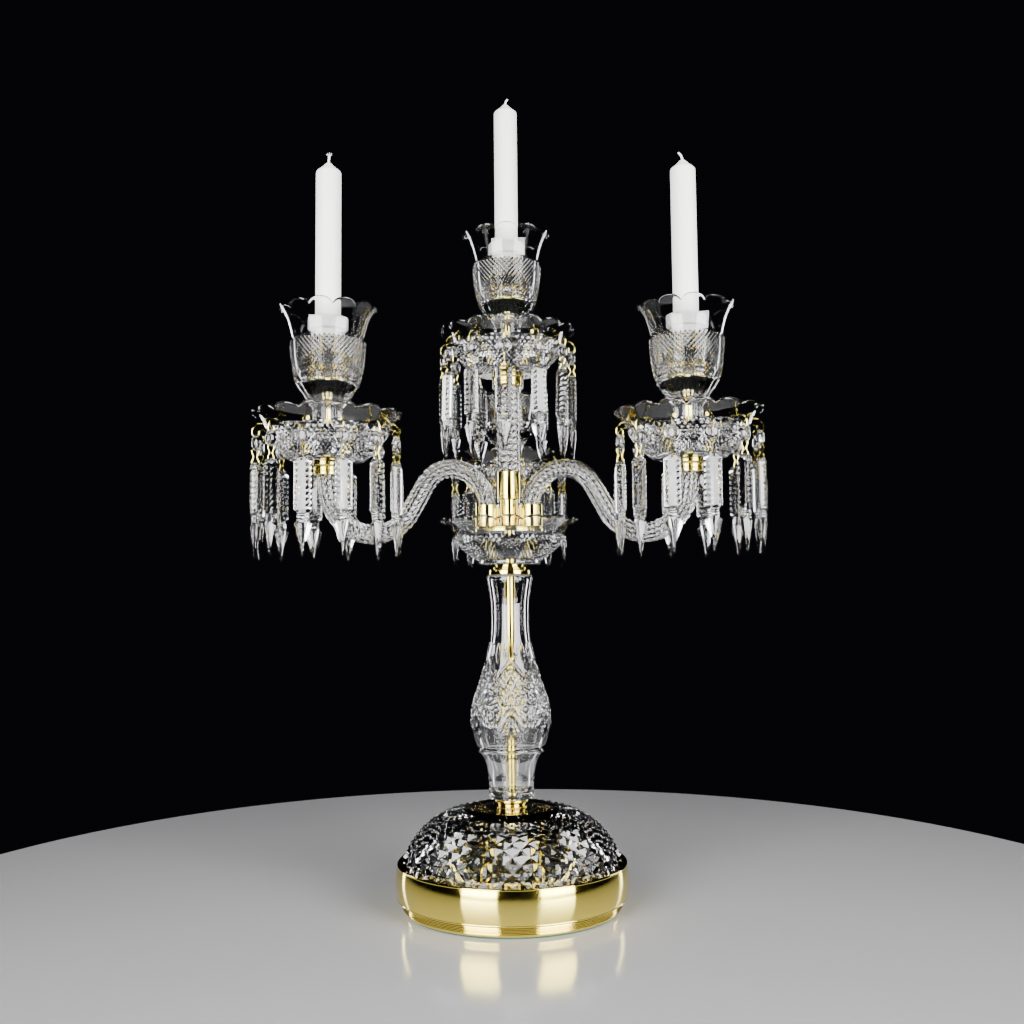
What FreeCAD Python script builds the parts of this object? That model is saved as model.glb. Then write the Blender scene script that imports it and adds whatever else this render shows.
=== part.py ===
"""Four-light table candelabra in cut glass and polished brass, built as a parametric document.

Frame: +Z up, origin at the centre of the base's underside, millimetres. The front is -Y: two of the
three arms come forward to the left (-X) and to the right (+X), and the third goes straight back.
Every driving size is a named cell of the sheet, and each piece is bound to those cells.
"""
import FreeCAD, Part

import math
import os
import re

import Sketcher

# ------------------------------------------------------------------ driving sizes, millimetres, degrees
SIZES = {
    # base
    "felt_thick": 1.6, "felt_inset": 2.5,
    "foot_wall": 8.0, "foot_height": 8.8,
    "skirt_radius": 105.0, "skirt_belly": 1.5, "skirt_wall": 2.4, "skirt_height": 31.6,
    "deck_drop": 6.0, "deck_thick": 2.0, "skirt_flange": 12.0,
    "weight_thick": 16.0,
    "dome_gap": 0.4, "dome_height": 53.8, "dome_top_radius": 44.0, "dome_bulge": 12.5, "dome_wall": 6.0,
    "coupling_height": 7.7, "coupling_radius": 15.9, "coupling_waist": 12.5,
    # rod and its hardware
    "rod_radius": 5.0, "rod_gap": 0.15, "rod_tail": 5.0,
    "nut_flats_radius": 9.2, "nut_height": 8.0, "washer_radius": 13.0, "washer_thick": 1.6,
    # column
    "seal_thick": 1.0, "seal_radius": 14.5,
    "column_foot_radius": 20.7, "column_skirt_radius": 26.7, "column_skirt_height": 40.0,
    "column_ring_radius": 30.7, "column_ring_height": 6.0, "bulb_radius": 37.4, "bulb_rise": 24.0,
    "neck_radius": 18.4, "column_height": 202.8, "column_lip_radius": 21.6, "column_wall": 5.5,
    "flange_radius": 20.1, "flange_ring": 4.9, "flange_height": 9.7, "flange_seat_radius": 13.4,
    # receiver bowl and hub
    "bowl_foot_radius": 29.0, "bowl_foot_height": 3.2, "bowl_edge_radius": 53.7, "bowl_edge_height": 25.7,
    "bowl_floor": 29.5, "bowl_rim_height": 41.0, "bowl_lobes": 16.0,
    "lobe_depth": 5.5,
    "plate_thick": 6.0,
    "arm_cup_height": 19.8, "arm_cup_floor": 3.0,
    "screw_radius": 2.0, "screw_head_radius": 3.8, "screw_head_height": 2.4, "screw_gap": 0.15,
    "pillar_radius": 8.4, "pillar_height": 25.5, "coupler_radius": 11.3, "coupler_height": 26.5,
    "coupler_floor": 4.0, "pillar_nut_height": 4.0, "pillar_nut_radius": 8.0,
    # arms and centre stem
    "arm_radius": 8.75, "glass_gap": 0.25, "arm_root": 24.0, "arm_reach": 180.0,
    "over_bend": 34.0, "under_bend": 42.0, "apex_rise": 52.0, "low_drop": 10.3, "pan_rise": 52.0,
    "left_turn": 210.0, "right_turn": 330.0, "back_turn": 90.0,
    "stem_radius": 11.0, "stem_spigot": 9.2, "stem_length": 82.4,
    # one light, above the underside of its drip pan
    "cap_height": 12.0, "cap_depth": 8.0, "cap_wall": 2.3, "cap_flare": 1.6,
    "pan_foot_radius": 32.5, "pan_edge_radius": 53.7, "pan_edge_height": 25.0, "pan_floor": 28.5,
    "pan_rim_height": 40.0, "pan_lobes": 16.0, "glass_wall": 3.0,
    "stud_radius": 3.0, "stud_gap": 0.1, "seat_radius": 12.0, "seat_thick": 1.8,
    "clamp_thick": 1.0, "boss_radius": 6.0, "boss_height": 4.0,
    "cup_neck_radius": 13.0, "cup_foot_radius": 14.4, "cup_neck_height": 16.5,
    "cup_cone_height": 36.0, "cup_floor": 38.5,
    "cup_body_radius": 32.7, "cup_body_height": 76.0, "cup_height": 102.5,
    "cup_lobes": 12.0,
    "socket_lift": 52.0, "socket_height": 23.0, "socket_wall": 1.4, "socket_floor": 3.0,
    "collar_height": 10.4, "collar_lift": 29.4, "collar_floor": 2.0,
    "plug_wall": 1.6, "plug_gap": 0.2,
    "candle_radius": 11.0, "candle_gap": 0.3, "candle_length": 140.2, "candle_tip": 8.0,
    "wick_radius": 1.1, "wick_length": 9.0,
    # one hanging strand
    "strand_count": 12.0, "strand_clearance": 0.4,
    "pin_wire": 0.8, "pin_hole": 0.9, "pin_knob": 1.5,
    "bead_radius": 6.8, "bead_level": 13.5, "bead_thick": 6.4, "bead_hole_offset": 4.4,
    "eye_hole": 1.25, "eye_slack": 0.25, "loop_half": 3.4,
    "prism_top": -3.4, "prism_length": 80.0, "prism_half": 7.7, "prism_neck_half": 3.3,
    "bar_length": 45.0, "neck_length": 7.5, "shoulder_length": 2.5, "prism_hole_drop": 2.6,
    "left_phase": -9.0, "right_phase": 8.0, "back_phase": 15.0, "centre_phase": -3.0,
}

# ------------------------------------------------------------------ sizes that follow the driving ones
FOLLOWING = {
    "foot_radius": "skirt_radius-5", "weight_radius": "skirt_radius-9",
    "bowl_rim_radius": "bowl_edge_radius+11.1",
    "arm_cup_radius": "arm_radius+1.95", "plate_radius": "arm_root+arm_cup_radius-0.7",
    "pan_rim_radius": "pan_edge_radius+10.6",
    "cup_cone_radius": "cup_body_radius-5.3", "cup_rim_radius": "cup_body_radius+9.6",
    "clamp_radius": "cup_cone_radius-7.4", "collar_radius": "candle_radius+6.3",
    "strand_radius": "pan_edge_radius+7.3", "pin_level": "pan_floor+2.1",
}

doc = FreeCAD.newDocument("candelabra")
sheet = doc.addObject("Spreadsheet::Sheet", "sizes")
for line, (word, held) in enumerate({**SIZES, **FOLLOWING}.items(), 1):
    sheet.set(f"A{line}", word)
    sheet.set(f"B{line}", f"={held}")
    sheet.setAlias(f"B{line}", word)
doc.recompute()

parts = {}


# ------------------------------------------------------------------ helpers
def bound(formula):
    """The formula with every size's name pointed at its cell."""
    return re.sub(r"[a-z]+(?:_[a-z]+)+", lambda m: "sizes." + m.group(0), formula)


def value(formula):
    """What a formula of the sheet's sizes comes to, as a float."""
    found = sheet.evalExpression(bound(formula))
    return float(getattr(found, "Value", found))


def keep(name, obj, x="0", y="0", z="0", turn="0"):
    """Labels a finished piece, binds its place to the sheet and lists it for export."""
    obj.Label = name
    obj.Placement = FreeCAD.Placement(
        FreeCAD.Vector(value(x), value(y), value(z)),
        FreeCAD.Rotation(FreeCAD.Vector(0, 0, 1), value(turn)),
    )
    for axis, formula in (("x", x), ("y", y), ("z", z)):
        obj.setExpression(f"Placement.Base.{axis}", bound(formula))
    parts[name] = obj
    return obj


def origin_plane(body, role):
    """The body's own origin plane or axis with that role."""
    return next(f for f in body.Origin.OriginFeatures if f.Role == role)


def pin_down(sketch, edge, end, axis, formula):
    """Fixes one coordinate of an edge's end to a formula, whatever its sign."""
    number = value(formula)
    if abs(number) < 1e-9:
        sketch.addConstraint(Sketcher.Constraint("PointOnObject", edge, end, -2 if axis == "X" else -1))
        return
    if number > 0:
        at = sketch.addConstraint(Sketcher.Constraint("Distance" + axis, -1, 1, edge, end, number))
        sketch.setExpression(f"Constraints[{at}]", bound(formula))
    else:
        at = sketch.addConstraint(Sketcher.Constraint("Distance" + axis, edge, end, -1, 1, -number))
        sketch.setExpression(f"Constraints[{at}]", bound(f"-({formula})"))


def outline(body, name, points, plane="XZ_Plane"):
    """A closed outline on one of the body's origin planes.

    Each point is (across, up) or (across, up, bulge): a bulge makes the edge that arrives at the
    point an arc, standing that far to the left of the edge's way, or to the right when negative.
    """
    sketch = body.newObject("Sketcher::SketchObject", name)
    sketch.AttachmentSupport = (origin_plane(body, plane), [""])
    sketch.MapMode = "FlatFace"
    places = [FreeCAD.Vector(value(p[0]), value(p[1]), 0) for p in points]
    starts, ends = [], []
    for at, point in enumerate(points):
        before = places[at - 1]
        after = places[at]
        if len(point) == 2:
            edge = sketch.addGeometry(Part.LineSegment(before, after), False)
            starts.append((edge, 1))
            ends.append((edge, 2))
            continue
        bulge = value(point[2])
        chord = after - before
        side = FreeCAD.Vector(-chord.y, chord.x, 0).normalize()
        middle = (before + after) * 0.5 + side * bulge
        radius = (chord.Length**2 / 4 + bulge**2) / (2 * abs(bulge))
        centre = middle - side * math.copysign(radius, bulge)
        angles = [math.atan2(p.y - centre.y, p.x - centre.x) for p in (before, after)]
        turned = bulge > 0
        first, last = (angles[1], angles[0]) if turned else (angles[0], angles[1])
        circle = Part.Circle(centre, FreeCAD.Vector(0, 0, 1), radius)
        edge = sketch.addGeometry(Part.ArcOfCircle(circle, first, last), False)
        starts.append((edge, 2 if turned else 1))
        ends.append((edge, 1 if turned else 2))
    for at, point in enumerate(points):
        follow = (at + 1) % len(points)
        sketch.addConstraint(Sketcher.Constraint("Coincident", *ends[at], *starts[follow]))
        pin_down(sketch, *ends[at], "X", point[0])
        pin_down(sketch, *ends[at], "Y", point[1])
        if len(point) == 3:
            a, b, s = points[at - 1], point, f"abs({point[2]})"
            square = f"((({b[0]})-({a[0]}))^2+(({b[1]})-({a[1]}))^2)"
            formula = f"({square}/4+({s})^2)/(2*({s}))"
            bend = sketch.addConstraint(Sketcher.Constraint("Radius", ends[at][0], value(formula)))
            sketch.setExpression(f"Constraints[{bend}]", bound(formula))
    return sketch


def turned_body(name, points):
    """A body turned about its own Z axis from one closed outline of (radius, height) points."""
    body = doc.addObject("PartDesign::Body", name)
    profile = outline(body, name + "_profile", points)
    turning = body.newObject("PartDesign::Revolution", name + "_turning")
    turning.Profile = profile
    turning.ReferenceAxis = (profile, ["V_Axis"])
    turning.Angle = 360
    body.Tip = turning
    doc.recompute()
    return body


def repeat_round(body, feature, count):
    """Repeats a feature of the body round its Z axis."""
    pattern = body.newObject("PartDesign::PolarPattern", feature.Name + "_round")
    pattern.Originals = [feature]
    pattern.Axis = (origin_plane(body, "Z_Axis"), [""])
    pattern.Angle = 360
    pattern.setExpression("Occurrences", bound(count))
    body.Tip = pattern


def cut_outwards(body, name, sketch, reach):
    """Cuts a sketch on the YZ plane out through the wall on the +X side, once."""
    whole = body.Shape.Volume
    pocket = body.newObject("PartDesign::Pocket", name)
    pocket.Profile = sketch
    pocket.Reversed = True
    pocket.Type = "Length"
    pocket.setExpression("Length", bound(reach))
    body.Tip = pocket
    doc.recompute()
    if not body.Shape.Volume < whole - 1e-3:
        raise RuntimeError(f"{name} cut nothing")
    return pocket


def scallop(body, name, radius, top, count):
    """Cuts the rim into round lobes: the same notch between every two of them."""
    half = f"0.485*2*({radius})*sin(180/({count}))"
    rise = "0.28*lobe_depth"
    notch = outline(body, name + "_notch", [
        (f"-({half})", f"{top}+2"), (f"-({half})", top),
        ("0", f"{top}-lobe_depth", rise), (half, top, rise), (half, f"{top}+2"),
    ], "YZ_Plane")
    repeat_round(body, cut_outwards(body, name + "_scallop", notch, f"1.2*({radius})"), count)


def drill_round(body, name, level, hole, reach, count):
    """Drills radial holes all round a wall, at one level."""
    sketch = body.newObject("Sketcher::SketchObject", name + "_hole_outline")
    sketch.AttachmentSupport = (origin_plane(body, "YZ_Plane"), [""])
    sketch.MapMode = "FlatFace"
    centre = FreeCAD.Vector(0, value(level), 0)
    sketch.addGeometry(Part.Circle(centre, FreeCAD.Vector(0, 0, 1), value(hole)), False)
    sketch.addConstraint(Sketcher.Constraint("PointOnObject", 0, 3, -2))
    pin_down(sketch, 0, 3, "Y", level)
    bend = sketch.addConstraint(Sketcher.Constraint("Radius", 0, value(hole)))
    sketch.setExpression(f"Constraints[{bend}]", bound(hole))
    repeat_round(body, cut_outwards(body, name + "_holes", sketch, reach), count)


def cylinder(name, radius, height, z="0"):
    """A plain upright cylinder, bound to the sheet."""
    made = doc.addObject("Part::Cylinder", name)
    made.setExpression("Radius", bound(radius))
    made.setExpression("Height", bound(height))
    made.setExpression("Placement.Base.z", bound(z))
    return made


def ring(name, radius, bore, height, z="0"):
    """A plain ring or washer: a cylinder with a bore right through it."""
    made = doc.addObject("Part::Cut", name)
    made.Base = cylinder(name + "_blank", radius, height, z)
    made.Tool = cylinder(name + "_bore", bore, f"{height}+2", f"{z}-1")
    return made


def hex_nut(name, radius, bore, height):
    """A plain hexagon nut with its bore."""
    blank = doc.addObject("Part::Prism", name + "_blank")
    blank.Polygon = 6
    blank.setExpression("Circumradius", bound(radius))
    blank.setExpression("Height", bound(height))
    made = doc.addObject("Part::Cut", name)
    made.Base = blank
    made.Tool = cylinder(name + "_bore", bore, f"{height}+2", "-1")
    return made


def group(name, shapes):
    """One node of separate solids, set from the sheet's sizes."""
    made = doc.addObject("Part::Feature", name)
    made.Shape = Part.makeCompound(shapes)
    return keep(name, made)


# ------------------------------------------------------------------ levels that the pieces share
SKIRT_LEVEL = "felt_thick+foot_height"
DECK_TOP = f"{SKIRT_LEVEL}+skirt_height-deck_drop"
DECK_UNDER = f"{DECK_TOP}-deck_thick"
WEIGHT_LEVEL = f"{DECK_UNDER}-weight_thick"
WASHER_LEVEL = f"{WEIGHT_LEVEL}-washer_thick"
NUT_LEVEL = f"{WASHER_LEVEL}-nut_height"
DOME_TOP = f"{DECK_TOP}+dome_height"
LOWER_SEAL = f"{DOME_TOP}+coupling_height"
COLUMN_LEVEL = f"{LOWER_SEAL}+seal_thick"
UPPER_SEAL = f"{COLUMN_LEVEL}+column_height"
FLANGE_LEVEL = f"{UPPER_SEAL}+seal_thick"
BOWL_LEVEL = f"{FLANGE_LEVEL}+flange_height"
PLATE_LEVEL = f"{BOWL_LEVEL}+bowl_floor"
HUB_LEVEL = f"{PLATE_LEVEL}+plate_thick"
COUPLER_LEVEL = f"{HUB_LEVEL}+pillar_height"
APEX_CENTRE = "apex_rise-over_bend-arm_cup_floor"
LOW_CENTRE = "under_bend-low_drop-arm_cup_floor"
ARM_END = "pan_rise-cap_height+cap_depth-arm_cup_floor"
ARM_PAN_LEVEL = f"{HUB_LEVEL}+pan_rise"
CENTRE_PAN_LEVEL = f"{COUPLER_LEVEL}+coupler_height+stem_length+cap_height-0.3"
ROD_BORE = "rod_radius+rod_gap"
STUD_BORE = "stud_radius+stud_gap"
EYE_REST = "eye_hole-eye_slack-pin_wire/2"
HANG_LEVEL = f"bead_level+bead_hole_offset+{EYE_REST}"


# ------------------------------------------------------------------ base
def build_base():
    """Felt, foot ring, skirt with its deck, weight and its clamp, glass dome and the coupling on it."""
    felt = cylinder("base_felt", "foot_radius-felt_inset", "felt_thick")
    keep("base_felt", felt)

    foot = turned_body("foot_ring_body", [
        ("foot_radius-foot_wall", "0"), ("foot_radius-1.5", "0"), ("foot_radius", "1.5", "-0.4"),
        ("foot_radius", "foot_height-1.5"), ("foot_radius-1.5", "foot_height", "-0.4"),
        ("foot_radius-foot_wall", "foot_height"),
    ])
    keep("base_foot_ring", foot, z="felt_thick")

    inner = "skirt_radius-skirt_wall"
    deck = "skirt_height-deck_drop"
    skirt = turned_body("skirt_body", [
        ("skirt_radius-skirt_flange", "0"), ("skirt_radius-3.4", "0"), ("skirt_radius", "1.6", "-0.4"),
        ("skirt_radius", "skirt_height-1.6", "-skirt_belly"),
        ("skirt_radius-1", "skirt_height", "-0.3"), (inner, "skirt_height"), (inner, deck),
        (ROD_BORE, deck), (ROD_BORE, f"{deck}-deck_thick"), (inner, f"{deck}-deck_thick"),
        (inner, "deck_thick"), ("skirt_radius-skirt_flange", "deck_thick"),
    ])
    keep("base_skirt", skirt, z=SKIRT_LEVEL)

    weight = turned_body("weight_body", [
        (ROD_BORE, "0"), ("weight_radius-3", "0"), ("weight_radius", "3"),
        ("weight_radius", "weight_thick"), (ROD_BORE, "weight_thick"),
    ])
    keep("base_weight", weight, z=WEIGHT_LEVEL)
    keep("base_washer", ring("clamp_washer", "washer_radius", ROD_BORE, "washer_thick"), z=WASHER_LEVEL)
    keep("base_nut", hex_nut("clamp_nut", "nut_flats_radius", ROD_BORE, "nut_height"), z=NUT_LEVEL)

    rim = "skirt_radius-skirt_wall-dome_gap"
    dome = turned_body("dome_body", [
        (rim, "0"), (rim, "2"), ("dome_top_radius", "dome_height", "-dome_bulge"),
        (ROD_BORE, "dome_height"), (ROD_BORE, "dome_height-dome_wall"),
        ("dome_top_radius-1", "dome_height-dome_wall"),
        (f"{rim}-dome_wall", "0", "dome_bulge-1"),
    ])
    keep("base_dome", dome, z=DECK_TOP)

    coupling = turned_body("coupling_body", [
        (ROD_BORE, "0"), ("coupling_radius-2", "0"), ("coupling_radius-1.2", "0.9", "-0.25"),
        ("coupling_waist", "2.2"), ("coupling_waist", "3.4"), ("coupling_waist+1.6", "4.2", "-0.25"),
        ("coupling_waist", "5"), ("coupling_radius", "coupling_height-1.8"),
        ("coupling_radius", "coupling_height", "-0.5"), (ROD_BORE, "coupling_height"),
    ])
    keep("base_coupling", coupling, z=DOME_TOP)


# ------------------------------------------------------------------ rod and column
def build_column():
    """The brass rod that clamps the whole stack, the hollow baluster, its seals and the top flange."""
    rod = cylinder("support_rod", "rod_radius", f"{COUPLER_LEVEL}+coupler_floor+pillar_nut_height+1-rod_tail")
    keep("support_rod", rod, z="rod_tail")

    ring_low = "column_skirt_height+3.5"
    ring_top = "column_skirt_height+column_ring_height"
    belly = f"{ring_top}+bulb_rise"
    neck_low = "column_height-52"
    neck_top = "column_height-30"
    wall = "column_wall"
    column = turned_body("column_body", [
        (ROD_BORE, "0"), ("column_foot_radius-0.8", "0"), ("column_foot_radius", "0.8"),
        ("column_skirt_radius", "column_skirt_height", "1.2"),
        ("column_ring_radius", ring_low, "-0.6"), ("column_ring_radius", ring_top, "-0.6"),
        ("bulb_radius", belly, "-1.6"), ("bulb_radius*0.76", f"{belly}+36", "-1.6"),
        ("neck_radius", neck_low, "2.4"), ("neck_radius", neck_top, "0.25"),
        ("column_lip_radius", "column_height-5", "0.6"), ("column_lip_radius", "column_height-1", "-0.3"),
        ("column_lip_radius-1", "column_height"),
        (f"column_lip_radius-{wall}", "column_height"),
        (f"neck_radius-{wall}", neck_top), (f"neck_radius-{wall}", neck_low),
        (f"bulb_radius*0.76-{wall}", f"{belly}+34", "-2.2"), (f"bulb_radius-{wall}", belly, "1.5"),
        (f"column_ring_radius-{wall}-0.5", ring_top, "1.4"),
        (f"column_skirt_radius-{wall}", "column_skirt_height"),
        (f"column_foot_radius-{wall}", "6"), (ROD_BORE, "6"),
    ])
    keep("column_glass", column, z=COLUMN_LEVEL)

    seals = doc.addObject("Part::Compound", "column_seals")
    seals.Links = [
        ring("lower_seal", "seal_radius", ROD_BORE, "seal_thick", LOWER_SEAL),
        ring("upper_seal", "column_lip_radius-1", ROD_BORE, "seal_thick", UPPER_SEAL),
    ]
    keep("column_seals", seals)

    flange = turned_body("flange_body", [
        (ROD_BORE, "0"), ("flange_radius-0.8", "0"), ("flange_radius", "0.8", "-0.2"),
        ("flange_radius", "flange_ring-0.8"), ("flange_radius-0.8", "flange_ring", "-0.2"),
        ("flange_radius-4.4", "flange_ring+0.4"), ("flange_radius-4.4", "flange_ring+2.4", "-0.5"),
        ("flange_seat_radius", "flange_ring+3"), ("flange_seat_radius", "flange_height"),
        (ROD_BORE, "flange_height"),
    ])
    keep("column_flange", flange, z=FLANGE_LEVEL)


# ------------------------------------------------------------------ receiver bowl and hub
def build_hub():
    """The glass bowl, the arm plate in it, the arm cups and their screws, and the centre pillar."""
    bowl = turned_body("bowl_body", [
        (ROD_BORE, "0"), ("bowl_foot_radius-0.8", "0"), ("bowl_foot_radius", "0.8", "-0.2"),
        ("bowl_foot_radius", "bowl_foot_height"), ("bowl_edge_radius", "bowl_edge_height", "-2.4"),
        ("bowl_rim_radius", "bowl_rim_height", "1.2"),
        ("bowl_rim_radius-glass_wall*0.8", "bowl_rim_height"),
        ("bowl_edge_radius-glass_wall", "bowl_floor+1", "-1.2"),
        ("bowl_edge_radius-glass_wall-1", "bowl_floor"), (ROD_BORE, "bowl_floor"),
    ])
    scallop(bowl, "bowl", "bowl_rim_radius", "bowl_rim_height", "bowl_lobes")
    keep("receiver_bowl", bowl, z=BOWL_LEVEL)

    plate = turned_body("plate_body", [
        (ROD_BORE, "0"), ("plate_radius-1", "0"), ("plate_radius", "1", "-0.3"),
        ("plate_radius", "plate_thick-2"), ("plate_radius-2", "plate_thick", "-0.6"),
        (ROD_BORE, "plate_thick"),
    ])
    sunk = doc.addObject("Part::Feature", "plate_with_screw_holes")
    shape = plate.Shape
    for turn in ("left_turn", "right_turn", "back_turn"):
        at = spot("arm_root", turn)
        shank = Part.makeCylinder(value("screw_radius+screw_gap"), value("plate_thick+2"), at - up("1"))
        head = Part.makeCylinder(
            value("screw_head_radius+screw_gap"), value("screw_head_height+0.2+1"), at - up("1"))
        shape = shape.cut(shank.fuse(head))
    sunk.Shape = shape
    keep("arm_plate", sunk, z=PLATE_LEVEL)

    cups, screws = [], []
    for turn in ("left_turn", "right_turn", "back_turn"):
        at = spot("arm_root", turn)
        low = at + up(HUB_LEVEL)
        cup = Part.makeCylinder(value("arm_cup_radius"), value("arm_cup_height"), low)
        cup = cup.makeChamfer(0.6, [e for e in cup.Edges if abs(e.BoundBox.ZMin - e.BoundBox.ZMax) < 1e-6])
        bore = Part.makeCylinder(
            value("arm_radius+glass_gap"), value("arm_cup_height"), low + up("arm_cup_floor"))
        thread = Part.makeCylinder(value("screw_radius+screw_gap"), value("arm_cup_height"), low - up("1"))
        cups.append(cup.cut(bore).cut(thread))
        head_at = at + up(f"{PLATE_LEVEL}+0.2")
        head = Part.makeCylinder(value("screw_head_radius"), value("screw_head_height"), head_at)
        length = value(f"{HUB_LEVEL}+arm_cup_floor-0.3-({PLATE_LEVEL}+0.2)")
        screws.append(head.fuse(Part.makeCylinder(value("screw_radius"), length, head_at)).removeSplitter())
    group("arm_cups", cups)
    group("arm_cup_screws", screws)

    pillar = turned_body("pillar_body", [
        (ROD_BORE, "0"), ("pillar_radius+1.2", "0"), ("pillar_radius+1.2", "1.6", "-0.3"),
        ("pillar_radius", "2.2"), ("pillar_radius", "pillar_height"), (ROD_BORE, "pillar_height"),
    ])
    keep("centre_pillar", pillar, z=HUB_LEVEL)
    keep("pillar_nut", hex_nut("top_nut", "pillar_nut_radius", ROD_BORE, "pillar_nut_height"),
         z=f"{COUPLER_LEVEL}+coupler_floor")

    coupler = turned_body("coupler_body", [
        (ROD_BORE, "0"), ("coupler_radius-0.6", "0"), ("coupler_radius", "0.6"),
        ("coupler_radius", "coupler_height-0.6"), ("coupler_radius-0.6", "coupler_height"),
        ("stem_spigot+glass_gap", "coupler_height"), ("stem_spigot+glass_gap", "coupler_floor"),
        (ROD_BORE, "coupler_floor"),
    ])
    keep("centre_coupler", coupler, z=COUPLER_LEVEL)


# ------------------------------------------------------------------ glass arms and stem
def spot(radius, turn, z="0"):
    """The point at that radius and bearing about the centre line."""
    across, bearing = value(radius), math.radians(value(turn))
    return FreeCAD.Vector(across * math.cos(bearing), across * math.sin(bearing), value(z))


def up(z):
    """A vector straight up by a formula's length."""
    return FreeCAD.Vector(0, 0, value(z))


def build_arm(name, turn):
    """A glass gooseneck: up out of its cup, over a tight bend, down, and up under its pan."""
    foot = f"{HUB_LEVEL}+arm_cup_floor"
    body = doc.addObject("PartDesign::Body", name + "_body")
    path = body.newObject("Sketcher::SketchObject", name + "_path")
    path.AttachmentSupport = (origin_plane(body, "XZ_Plane"), [""])
    path.MapMode = "FlatFace"
    over, under = value("over_bend"), value("under_bend")
    high = FreeCAD.Vector(value("arm_root+over_bend"), value(APEX_CENTRE), 0)
    low = FreeCAD.Vector(value("arm_reach-under_bend"), value(LOW_CENTRE), 0)
    between = low - high
    lean = math.atan2(between.y, between.x) + math.acos((over + under) / between.Length)
    leave = FreeCAD.Vector(math.cos(lean), math.sin(lean), 0)
    first = FreeCAD.Vector(high.x - over, 0, 0)
    last = FreeCAD.Vector(low.x + under, value(ARM_END), 0)
    bend_in, bend_out = FreeCAD.Vector(high.x - over, high.y, 0), FreeCAD.Vector(low.x + under, low.y, 0)
    normal = FreeCAD.Vector(0, 0, 1)
    path.addGeometry(Part.LineSegment(first, bend_in), False)
    path.addGeometry(Part.ArcOfCircle(Part.Circle(high, normal, over), lean, math.pi), False)
    path.addGeometry(Part.LineSegment(high + leave * over, low - leave * under), False)
    path.addGeometry(Part.ArcOfCircle(Part.Circle(low, normal, under), lean + math.pi, 2 * math.pi), False)
    path.addGeometry(Part.LineSegment(bend_out, last), False)
    for edge, end, follow, start in ((0, 2, 1, 2), (1, 1, 2, 1), (2, 2, 3, 1), (3, 2, 4, 1)):
        path.addConstraint(Sketcher.Constraint("Tangent", edge, end, follow, start))
    path.addConstraint(Sketcher.Constraint("Vertical", 0))
    path.addConstraint(Sketcher.Constraint("Vertical", 4))
    path.addConstraint(Sketcher.Constraint("PointOnObject", 0, 1, -1))
    pin_down(path, 0, 1, "X", "arm_root")
    pin_down(path, 1, 3, "Y", APEX_CENTRE)
    pin_down(path, 3, 3, "Y", LOW_CENTRE)
    pin_down(path, 4, 2, "X", "arm_reach")
    pin_down(path, 4, 2, "Y", ARM_END)
    for edge, size in ((1, "over_bend"), (3, "under_bend")):
        at = path.addConstraint(Sketcher.Constraint("Radius", edge, value(size)))
        path.setExpression(f"Constraints[{at}]", bound(size))
    section = body.newObject("Sketcher::SketchObject", name + "_section")
    section.AttachmentSupport = (origin_plane(body, "XY_Plane"), [""])
    section.MapMode = "FlatFace"
    section.addGeometry(Part.Circle(first, normal, value("arm_radius")), False)
    section.addConstraint(Sketcher.Constraint("PointOnObject", 0, 3, -1))
    pin_down(section, 0, 3, "X", "arm_root")
    at = section.addConstraint(Sketcher.Constraint("Radius", 0, value("arm_radius")))
    section.setExpression(f"Constraints[{at}]", bound("arm_radius"))
    doc.recompute()
    pipe = body.newObject("PartDesign::AdditivePipe", name + "_pipe")
    pipe.Profile = section
    pipe.Spine = path
    body.Tip = pipe
    doc.recompute()
    length = sum(e.Length for e in path.Shape.Edges)
    drawn = math.pi * value("arm_radius") ** 2 * length
    if abs(body.Shape.Volume / drawn - 1) > 0.01:
        raise RuntimeError(f"{name} is not its section along its path")
    keep(name, body, z=foot, turn=turn)


def build_stem():
    """The glass centre stem: a spigot in the coupler and a round rope-cut length above it."""
    spigot = "coupler_height-coupler_floor-pillar_nut_height-2"
    stem = turned_body("stem_body", [
        ("0", "0"), ("stem_spigot", "0"), ("stem_spigot", spigot), ("stem_radius", spigot),
        ("stem_radius", f"{spigot}+stem_length+cap_depth"), ("0", f"{spigot}+stem_length+cap_depth"),
    ])
    keep("centre_stem", stem, z=f"{COUPLER_LEVEL}+coupler_height-({spigot})")


# ------------------------------------------------------------------ one light
LIGHTS = {
    "left": ("arm_reach*cos(left_turn)", "arm_reach*sin(left_turn)", ARM_PAN_LEVEL, "left_turn"),
    "right": ("arm_reach*cos(right_turn)", "arm_reach*sin(right_turn)", ARM_PAN_LEVEL, "right_turn"),
    "back": ("arm_reach*cos(back_turn)", "arm_reach*sin(back_turn)", ARM_PAN_LEVEL, "back_turn"),
    "centre": ("0", "0", CENTRE_PAN_LEVEL, "270"),
}


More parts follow.
